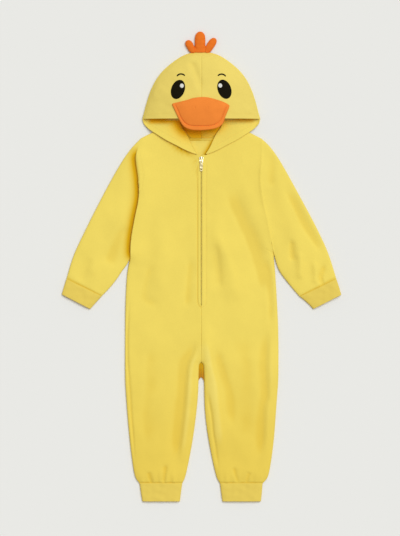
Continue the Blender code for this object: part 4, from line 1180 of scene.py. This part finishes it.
def thread_arc(radius, bend, angle):
    """A round thread bent around the origin and tapered to both ends, in millimetres."""
    bpy.ops.object.select_all(action="DESELECT")
    bpy.ops.mesh.primitive_circle_add(vertices=12, radius=radius, location=(bend * MM, 0, 0),
                                      rotation=(math.pi / 2, 0, 0))
    arc = bpy.context.object
    bpy.ops.object.transform_apply(location=True, rotation=True, scale=True)
    bpy.ops.object.mode_set(mode="EDIT")
    bpy.ops.mesh.select_all(action="SELECT")
    bpy.ops.mesh.spin(steps=26, angle=angle, center=(0, 0, 0), axis=(0, 0, 1))
    bpy.ops.mesh.select_all(action="SELECT")
    bpy.ops.mesh.remove_doubles(threshold=1e-6)
    bpy.ops.mesh.select_all(action="DESELECT")
    bpy.ops.mesh.select_non_manifold()
    bpy.ops.mesh.edge_face_add()
    bpy.ops.mesh.select_all(action="SELECT")
    bpy.ops.mesh.normals_make_consistent(inside=False)
    bpy.ops.object.mode_set(mode="OBJECT")
    bpy.ops.object.shade_smooth()
    points, _ = read_points(arc.data)
    turn = np.arctan2(points[:, 1], points[:, 0])
    middle = (turn.min() + turn.max()) / 2
    share = np.abs(turn - middle) / (angle / 2)
    slim = np.sqrt(np.clip(1.04 - share ** 6, 0.04, 1))
    reach = bend + (np.hypot(points[:, 0], points[:, 1]) - bend) * slim
    turn += math.pi / 2 - middle
    write_points(arc.data, np.column_stack((reach * np.cos(turn), reach * np.sin(turn),
                                            points[:, 2] * slim)))
    return arc


def bead(length, width, height, segments=8, rings=5):
    """Points and faces of a small rounded shape, long along X, in millimetres."""
    bpy.ops.object.select_all(action="DESELECT")
    bpy.ops.mesh.primitive_uv_sphere_add(segments=segments, ring_count=rings, radius=0.5,
                                         rotation=(0, math.pi / 2, 0))
    bpy.ops.object.transform_apply(location=False, rotation=True, scale=False)
    obj = bpy.context.object
    points = np.array([v.co for v in obj.data.vertices]) * (length, width, height)
    faces = [tuple(face.vertices) for face in obj.data.polygons]
    bpy.data.objects.remove(obj)
    return points, faces


def row_of(shape, places, name, paint):
    """Copies of one small shape as one piece; places are x, y, z and the turn in the plan."""
    points, faces = shape
    all_points, all_faces = [], []
    for number, (x, y, z, turn) in enumerate(places):
        c, s = math.cos(turn), math.sin(turn)
        all_points.append(np.column_stack((points[:, 0] * c - points[:, 1] * s + x,
                                           points[:, 0] * s + points[:, 1] * c + y,
                                           points[:, 2] + z)))
        all_faces += [tuple(index + number * len(points) for index in face) for face in faces]
    return settle(from_points(name, np.vstack(all_points), all_faces), name, paint)


def stitch_row(name, path, surface, thread):
    """A line of stitches along a path in the plan, laid on the cloth."""
    sewing = bpy.context.scene.pajama_zip
    line = curved(path)
    run = travelled(line)
    step = (sewing.stitch + sewing.stitch_gap) / MM
    places = []
    for travel in np.arange(step / 2, run[-1], step):
        (back_x, back_y), (x, y), (ahead_x, ahead_y) = (
            [np.interp(travel + part * step, run, line[:, k]) for k in (0, 1)]
            for part in (-0.5, 0.0, 0.5))
        turn = math.atan2(ahead_y - back_y, ahead_x - back_x)
        places.append((x, y, surface(x, y) + STITCH_LIFT, turn))
    return row_of(bead(sewing.stitch / MM, STITCH_WIDTH, STITCH_HEIGHT), places, name,
                  thread)


# ---------------------------------------------------------------- operators

class BuildStep:
    """What every step shares."""
    bl_options = {"REGISTER", "UNDO"}


class PAJAMA_OT_body(BuildStep, bpy.types.Operator):
    """Dresses the back, both fronts and the leg cuffs"""
    bl_idname = "pajama.body"
    bl_label = "Body"

    def execute(self, context):
        rounding = context.scene.pajama_cloth.rounding
        dress("back", shape_back, body_paint(), rounding)
        for node in ("front_right", "front_left"):
            dress(node, shape_front, body_paint(), rounding)
        for node in ("leg_cuff_right", "leg_cuff_left"):
            dress(node, shape_cuff, cuff_paint(), rounding)
        return {"FINISHED"}


class PAJAMA_OT_sleeves(BuildStep, bpy.types.Operator):
    """Dresses the sleeves and their cuffs"""
    bl_idname = "pajama.sleeves"
    bl_label = "Sleeves"

    def execute(self, context):
        rounding = context.scene.pajama_cloth.rounding
        for side, creases in (("right", SLEEVE_RIGHT_CREASES), ("left", SLEEVE_LEFT_CREASES)):
            sleeve, cuff = "sleeve_" + side, "sleeve_cuff_" + side
            dress(sleeve, shape_sleeve(creases), body_paint(), rounding)
            dress(cuff, shape_cuff, cuff_paint(), rounding)
        return {"FINISHED"}


class PAJAMA_OT_hood(BuildStep, bpy.types.Operator):
    """Dresses the two panels of the hood"""
    bl_idname = "pajama.hood"
    bl_label = "Hood"

    def execute(self, context):
        cloth = context.scene.pajama_cloth
        # Body colour on the hood's cloth, and the painted shade tone on its dome
        paint = material("hood_fleece", fleece, cloth.body_colour, cloth.hood_inside_shade_colour,
                         cloth.beak_shadow_colour, cloth.fibre, 0.12, cloth.dome_painted_shade_colour)
        for node in ("hood_right", "hood_left"):
            dress(node, shape_hood, paint, cloth.rounding)
        return {"FINISHED"}


class PAJAMA_OT_face(BuildStep, bpy.types.Operator):
    """Embroiders the eyes and brows on the hood"""
    bl_idname = "pajama.face"
    bl_label = "Eyes and brows"

    def execute(self, context):
        face = context.scene.pajama_face
        surface = surface_of("hood")
        light = material("glint_thread", satin_thread, face.light_colour, 0.3)
        for side, sign, centre, glint, brow in FACE:
            lean = sign * face.eye_lean
            dark = material("eye_thread_" + side, satin_thread, face.eye_colour, lean)
            eye = patch_on_hood(face.eye_length, face.eye_width, face.thread_height * 1.6,
                                lean, centre, surface)
            settle(eye, "eye_" + side, dark)
            spot = patch_on_hood(GLINT_LENGTH, GLINT_WIDTH, face.thread_height, GLINT_LEAN,
                                 glint, height_finder(eye), 0.1)
            settle(spot, "eye_glint_" + side, light)
            arc = thread_arc(face.brow_width / 2, BROW_BEND, BROW_ANGLE)
            points, _ = read_points(arc.data)
            points[:, 0] = brow[0] + points[:, 0] * 0.95 + sign * 0.08 * points[:, 1]
            points[:, 1] = (brow[1] + (points[:, 1] - BROW_BEND) * 0.9
                            - sign * 0.06 * (points[:, 0] - brow[0]))
            for point in points:
                point[2] = 0.7 * point[2] + surface(point[0], point[1]) + 0.1
            write_points(arc.data, points)
            settle(arc, "brow_" + side, dark)
        return {"FINISHED"}


class PAJAMA_OT_sew(BuildStep, bpy.types.Operator):
    """Sews the cloth pieces together, so that no gap shows in a seam"""
    bl_idname = "pajama.sew"
    bl_label = "Sew the seams"

    def execute(self, context):
        for first, second in SEWN:
            sew(first, second)
        return {"FINISHED"}


def inner_band(name, corners, seat, thickness, columns, rows):
    """A flat band inside the neckline, lower at its long edges, and its points."""
    (_, low), (_, high) = corners
    band, points = flat_grid(*corners, columns, rows)
    from_edge = np.minimum(points[:, 1] - low, high - points[:, 1])
    points[:, 2] = seat - 0.2 * bell(from_edge, 0.5)
    thicken(band, points, thickness)
    settle(band, name, body_paint())
    return band, read_points(band.data)[0]


class PAJAMA_OT_neck_tape(BuildStep, bpy.types.Operator):
    """Lays the facing inside the back neck and the tape over its seam"""
    bl_idname = "pajama.neck_tape"
    bl_label = "Neck facing and tape"

    def execute(self, context):
        back = height_finder(piece_named("back"))
        seat = max(back(x, y) for x in (-20, -9, 0, 9, 20) for y in (236, 248, 260, 268))
        facing, points = inner_band("neck_facing", NECK_FACING, seat + 0.25, 0.3, 44, 32)
        x, y = points[:, 0], points[:, 1]
        # Painted shadow of the wearer's left lapel's inner edge, and a little painted light
        edge = beside([NECK_EDGE], x, y, 7) + 0.5 * beside([NECK_EDGE], x, y, 2.5)
        mark(facing, {"pressed": edge, "faded": np.full(len(x), 0.1)})
        tape, points = inner_band("neck_tape", NECK_TAPE, seat + 0.6, 0.5, 60, 8)
        x, y = points[:, 0], points[:, 1]
        # Painted shade on the tape, more on the wearer's right where the beak's shadow falls, and
        # along the neck's edge
        mark(tape, {"pressed": 0.3 + 0.35 * smooth((4 - x) / 8)
                    + 0.9 * beside([NECK_EDGE], x, y, 4)})
        piece_named("back")
        return {"FINISHED"}


class PAJAMA_OT_beak(BuildStep, bpy.types.Operator):
    """Dresses the padded beak"""
    bl_idname = "pajama.beak"
    bl_label = "Beak"

    def execute(self, context):
        face = context.scene.pajama_face
        paint = material("felt_of_beak", felt, face.beak_colour)
        points, faces = beak_mesh(smooth_seat(surface_of("hood")))
        beak = from_points("beak_felt", points, faces)
        settle(beak, "beak_felt", paint)
        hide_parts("beak")
        return {"FINISHED"}


class PAJAMA_OT_tuft(BuildStep, bpy.types.Operator):
    """Dresses the three stuffed lobes of the tuft"""
    bl_idname = "pajama.tuft"
    bl_label = "Tuft"

    def execute(self, context):
        face = context.scene.pajama_face
        paint = material("felt_of_tuft", felt, face.tuft_colour)
        for side in ("right", "middle", "left"):
            lobe = dress("tuft_" + side, shape_lobe, paint, LOBE_ROUNDING)
        root = lens(ROOT_LENGTH, ROOT_WIDTH, ROOT_HEIGHT)
        cut_across(root, ROOT_CUT_Y, clear_inner=True, use_fill=True)
        root.data.transform(Matrix.Translation(Vector(ROOT_PLACE) * MM))
        settle(root, "tuft_root", paint)
        return {"FINISHED"}


class PAJAMA_OT_zip(BuildStep, bpy.types.Operator):
    """Makes the tape and the coil"""
    bl_idname = "pajama.zip"
    bl_label = "Zip tape and coil"

    def execute(self, context):
        sewing = context.scene.pajama_zip
        paint = material("woven_tape", woven, sewing.tape_colour)
        low, high = (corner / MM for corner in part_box("zip_tape"))
        tape, points = flat_grid(low, high, 40, 80)
        side = np.abs(points[:, 0])
        points[:, 2] = low[2] + 0.06 + 0.28 * bell(side - 12.2, 0.6) + 0.2 * bell(side - 2.4, 0.5)
        thicken(tape, points, TAPE_THICK)
        settle(tape, "zip_tape_woven", paint)
        half_turn = sewing.pitch / MM / 2
        places = [(COIL_STAGGER if number % 2 else -COIL_STAGGER, y, COIL_Z, 0.0) for number, y
                  in enumerate(np.arange(low[1] + 0.6, SLIDER_TAIL_Y, half_turn))]
        coil = row_of(bead(COIL_WIDTH, half_turn * 1.05, COIL_HEIGHT, 6, 4), places, "zip_coil",
                      material("zip_coil", woven, sewing.coil_colour))
        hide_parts("zip_tape")
        return {"FINISHED"}


class PAJAMA_OT_slider(BuildStep, bpy.types.Operator):
    """Makes the slider with its open channels and its bail, and a dark plate under the slots for
    the shade inside them
    """
    bl_idname = "pajama.slider"
    bl_label = "Slider"

    def execute(self, context):
        dark = material("zip_channel", polished_metal, context.scene.pajama_zip.channel_shade_colour)
        low, high = (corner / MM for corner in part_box("zip_slider"))
        top = low[2] + PLATE_TOP
        plate = add_box((low[0], low[1], low[2] + PLATE_LOW), (high[0], high[1], top))
        round_upright(plate, PLATE_ROUND, 5)
        edit(plate, "VERT", lambda ends: ends[0].y < low[1] + 4)
        bpy.ops.transform.resize(value=(TAIL_SHARE, 1, 1),
                                 center_override=(0, (low[1] + 2) * MM, top * MM))
        bpy.ops.object.mode_set(mode="OBJECT")
        for x in (-SLOT_X, SLOT_X):
            slot = add_box((x - SLOT_HALF_WIDTH, high[1] - SLOT_LENGTH, low[2]),
                           (x + SLOT_HALF_WIDTH, high[1] + 1, top + 1))
            round_upright(slot, 0.75, 4, high_y=high[1] - 1)
            carve(plate, slot)
        soften(plate, 0.22)
        ridge = add_box((-RIDGE_HALF_WIDTH, high[1] - RIDGE_BACK, top - 0.3),
                        (RIDGE_HALF_WIDTH, high[1] - RIDGE_FRONT, top + RIDGE_RISE))
        round_upright(ridge, 1.1, 4)
        soften(ridge, 0.45)
        bpy.ops.object.select_all(action="DESELECT")
        bpy.ops.mesh.primitive_torus_add(
            major_segments=32, minor_segments=12, major_radius=BAIL_RADIUS * MM,
            minor_radius=BAIL_WIRE * MM, rotation=(0, math.pi / 2, 0), location=HINGE)
        bail = context.object
        bpy.ops.object.transform_apply(location=True, rotation=True, scale=True)
        bail.data.transform(Matrix.Diagonal((BAIL_WIDENING, 1, 1, 1)))
        bpy.ops.object.shade_smooth()
        slider = settle(joined([plate, ridge, bail]), "zip_slider_body", metal_paint())
        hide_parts("zip_slider")
        # A dark plate under the slots: painted shade for the inside of the channel
        channel = add_box((low[0] + 0.5, low[1] + 0.6, low[2] + 0.05),
                          (high[0] - 0.5, high[1] - 0.3, low[2] + 0.5))
        round_upright(channel, 1.9, 4)
        soften(channel, 0.1)
        settle(channel, "zip_slider_shade_plate", dark)
        return {"FINISHED"}


class PAJAMA_OT_pull(BuildStep, bpy.types.Operator):
    """Makes the pull that swings on the slider's bail"""
    bl_idname = "pajama.pull"
    bl_label = "Pull"

    def execute(self, context):
        hinge_y, hinge_z = HINGE[1] / MM, HINGE[2] / MM
        low, high = hinge_z - PULL_THICK / 2, hinge_z + PULL_THICK / 2
        pull = add_box((-PULL_SHAPE[0][1], PULL_SHAPE[-1][0], low),
                       (PULL_SHAPE[0][1], PULL_SHAPE[0][0], high))
        for y, _ in PULL_SHAPE[1:-1]:
            cut_across(pull, y)
        points, _ = read_points(pull.data)
        rows = sorted(PULL_SHAPE)
        points[:, 0] = np.sign(points[:, 0]) * np.interp(points[:, 1], *zip(*rows))
        write_points(pull.data, points)
        round_upright(pull, 2.3, 6, high_y=PULL_SHAPE[-1][0] + 0.3)
        round_upright(pull, 0.6, 3, low_y=PULL_SHAPE[0][0] - 0.3)
        window = add_box((-1.45, hinge_y - 2.7, low - 1), (1.45, hinge_y - 0.7, high + 1))
        carve(pull, window)
        (left, back), (right, front) = PULL_PANEL
        for z in (low - 1 + PULL_PANEL_DEPTH, high + 1 - PULL_PANEL_DEPTH):
            panel = add_box((left, back, z - 1), (right, front, z + 1))
            round_upright(panel, 0.9, 4)
            carve(pull, panel)
        bpy.ops.object.select_all(action="DESELECT")
        bpy.ops.mesh.primitive_cylinder_add(vertices=28, radius=PULL_HOLE_RADIUS * MM,
                                            depth=5 * MM, location=(0, PULL_HOLE_Y * MM, HINGE[2]))
        bpy.ops.object.transform_apply(location=True, rotation=False, scale=False)
        carve(pull, context.object)
        soften(pull, 0.18)
        pull.data.transform(Matrix.Translation(HINGE) @ Matrix.Rotation(PULL_TILT, 4, "X")
                            @ Matrix.Translation(-HINGE))
        settle(pull, "zip_pull_tab", metal_paint(), PULL_TAB)
        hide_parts("zip_pull")
        return {"FINISHED"}


class PAJAMA_OT_stitching(BuildStep, bpy.types.Operator):
    """Sews the visible lines of stitches"""
    bl_idname = "pajama.stitching"
    bl_label = "Stitching"

    def execute(self, context):
        face, sewing = context.scene.pajama_face, context.scene.pajama_zip
        thread = material("sewing_thread", twisted_thread, sewing.thread_colour)
        orange = material("beak_thread", twisted_thread,
                          tuple(channel * 0.6 for channel in face.beak_colour))
        hood, beak = surface_of("hood"), height_finder(bpy.data.objects["beak_felt"])
        stitch_row("placket_stitches", PLACKET, surface_of("front"), thread)
        for side, sign in (("right", -1), ("left", 1)):
            for name, path in (("rim", RIM_STITCHES), ("lapel", LAPEL_STITCHES)):
                stitch_row(f"{name}_stitches_{side}", [(sign * x, y) for x, y in path], hood,
                           thread)
        stitch_row("beak_stitches", BEAK_SEAM[1:-1], beak, orange)
        return {"FINISHED"}


class PAJAMA_OT_stage(BuildStep, bpy.types.Operator):
    """Sets the floor, the lights and the camera"""
    bl_idname = "pajama.stage"
    bl_label = "Stage"

    def execute(self, context):
        stage = context.scene.pajama_stage
        bpy.ops.object.select_all(action="DESELECT")
        bpy.ops.mesh.primitive_plane_add(size=FLOOR_SIZE, location=(0, 0, FLOOR_Z))
        floor = context.object
        floor.name = "floor"
        floor.data.materials.append(material("floor", floor_paint, stage.floor_colour))
        bpy.ops.object.light_add(type="SUN", location=(1.1, 1.0, 2.6),
                                 rotation=(0, stage.key_lean, stage.key_turn))
        key = context.object
        key.name = "key_light"
        key.data.angle = stage.key_softness
        key.data.energy = stage.key_strength
        key.data.color = stage.key_colour
        world = bpy.data.worlds.new("surroundings")
        world.use_nodes = True
        background = world.node_tree.nodes["Background"]
        background.inputs["Color"].default_value = toned(stage.fill_colour, 1.0)
        background.inputs["Strength"].default_value = stage.fill
        context.scene.world = world
        bpy.ops.object.camera_add(location=(*CAMERA_PLACE, stage.camera_height),
                                  rotation=(0, 0, 0))
        camera = context.object
        camera.name = "camera"
        camera.data.sensor_width = SENSOR_WIDTH
        camera.data.lens = SENSOR_WIDTH * stage.camera_height / stage.frame_length
        camera.data.clip_end = CAMERA_REACH
        context.scene.camera = camera
        context.scene.view_settings.view_transform = "Standard"
        return {"FINISHED"}


class PAJAMA_PT_panel(bpy.types.Panel):
    """Lists the settings and the steps in order"""
    bl_label = "Onesie Pajama"
    bl_idname = "PAJAMA_PT_panel"
    bl_space_type = "VIEW_3D"
    bl_region_type = "UI"
    bl_category = "Pajama"

    def draw(self, context):
        for name, group in SETTINGS.items():
            box = self.layout.box()
            for field in group.__annotations__:
                box.prop(getattr(context.scene, name), field)
        for step in STEPS:
            self.layout.operator(step.bl_idname)


SETTINGS = {
    "pajama_cloth": ClothSettings, "pajama_face": FaceSettings, "pajama_zip": ZipSettings,
    "pajama_stage": StageSettings,
}
STEPS = (PAJAMA_OT_body, PAJAMA_OT_sleeves, PAJAMA_OT_hood, PAJAMA_OT_sew,
         PAJAMA_OT_neck_tape, PAJAMA_OT_beak, PAJAMA_OT_face, PAJAMA_OT_tuft, PAJAMA_OT_zip,
         PAJAMA_OT_slider, PAJAMA_OT_pull, PAJAMA_OT_stitching, PAJAMA_OT_stage)


def register():
    for cls in (*SETTINGS.values(), *STEPS, PAJAMA_PT_panel):
        bpy.utils.register_class(cls)
    for name, group in SETTINGS.items():
        setattr(bpy.types.Scene, name, PointerProperty(type=group))


def unregister():
    for name in SETTINGS:
        delattr(bpy.types.Scene, name)
    for cls in reversed((*SETTINGS.values(), *STEPS, PAJAMA_PT_panel)):
        bpy.utils.unregister_class(cls)


def main():
    register()
    for step in STEPS:
        group, name = step.bl_idname.split(".")
        getattr(getattr(bpy.ops, group), name)()


if __name__ == "__main__":
    main()
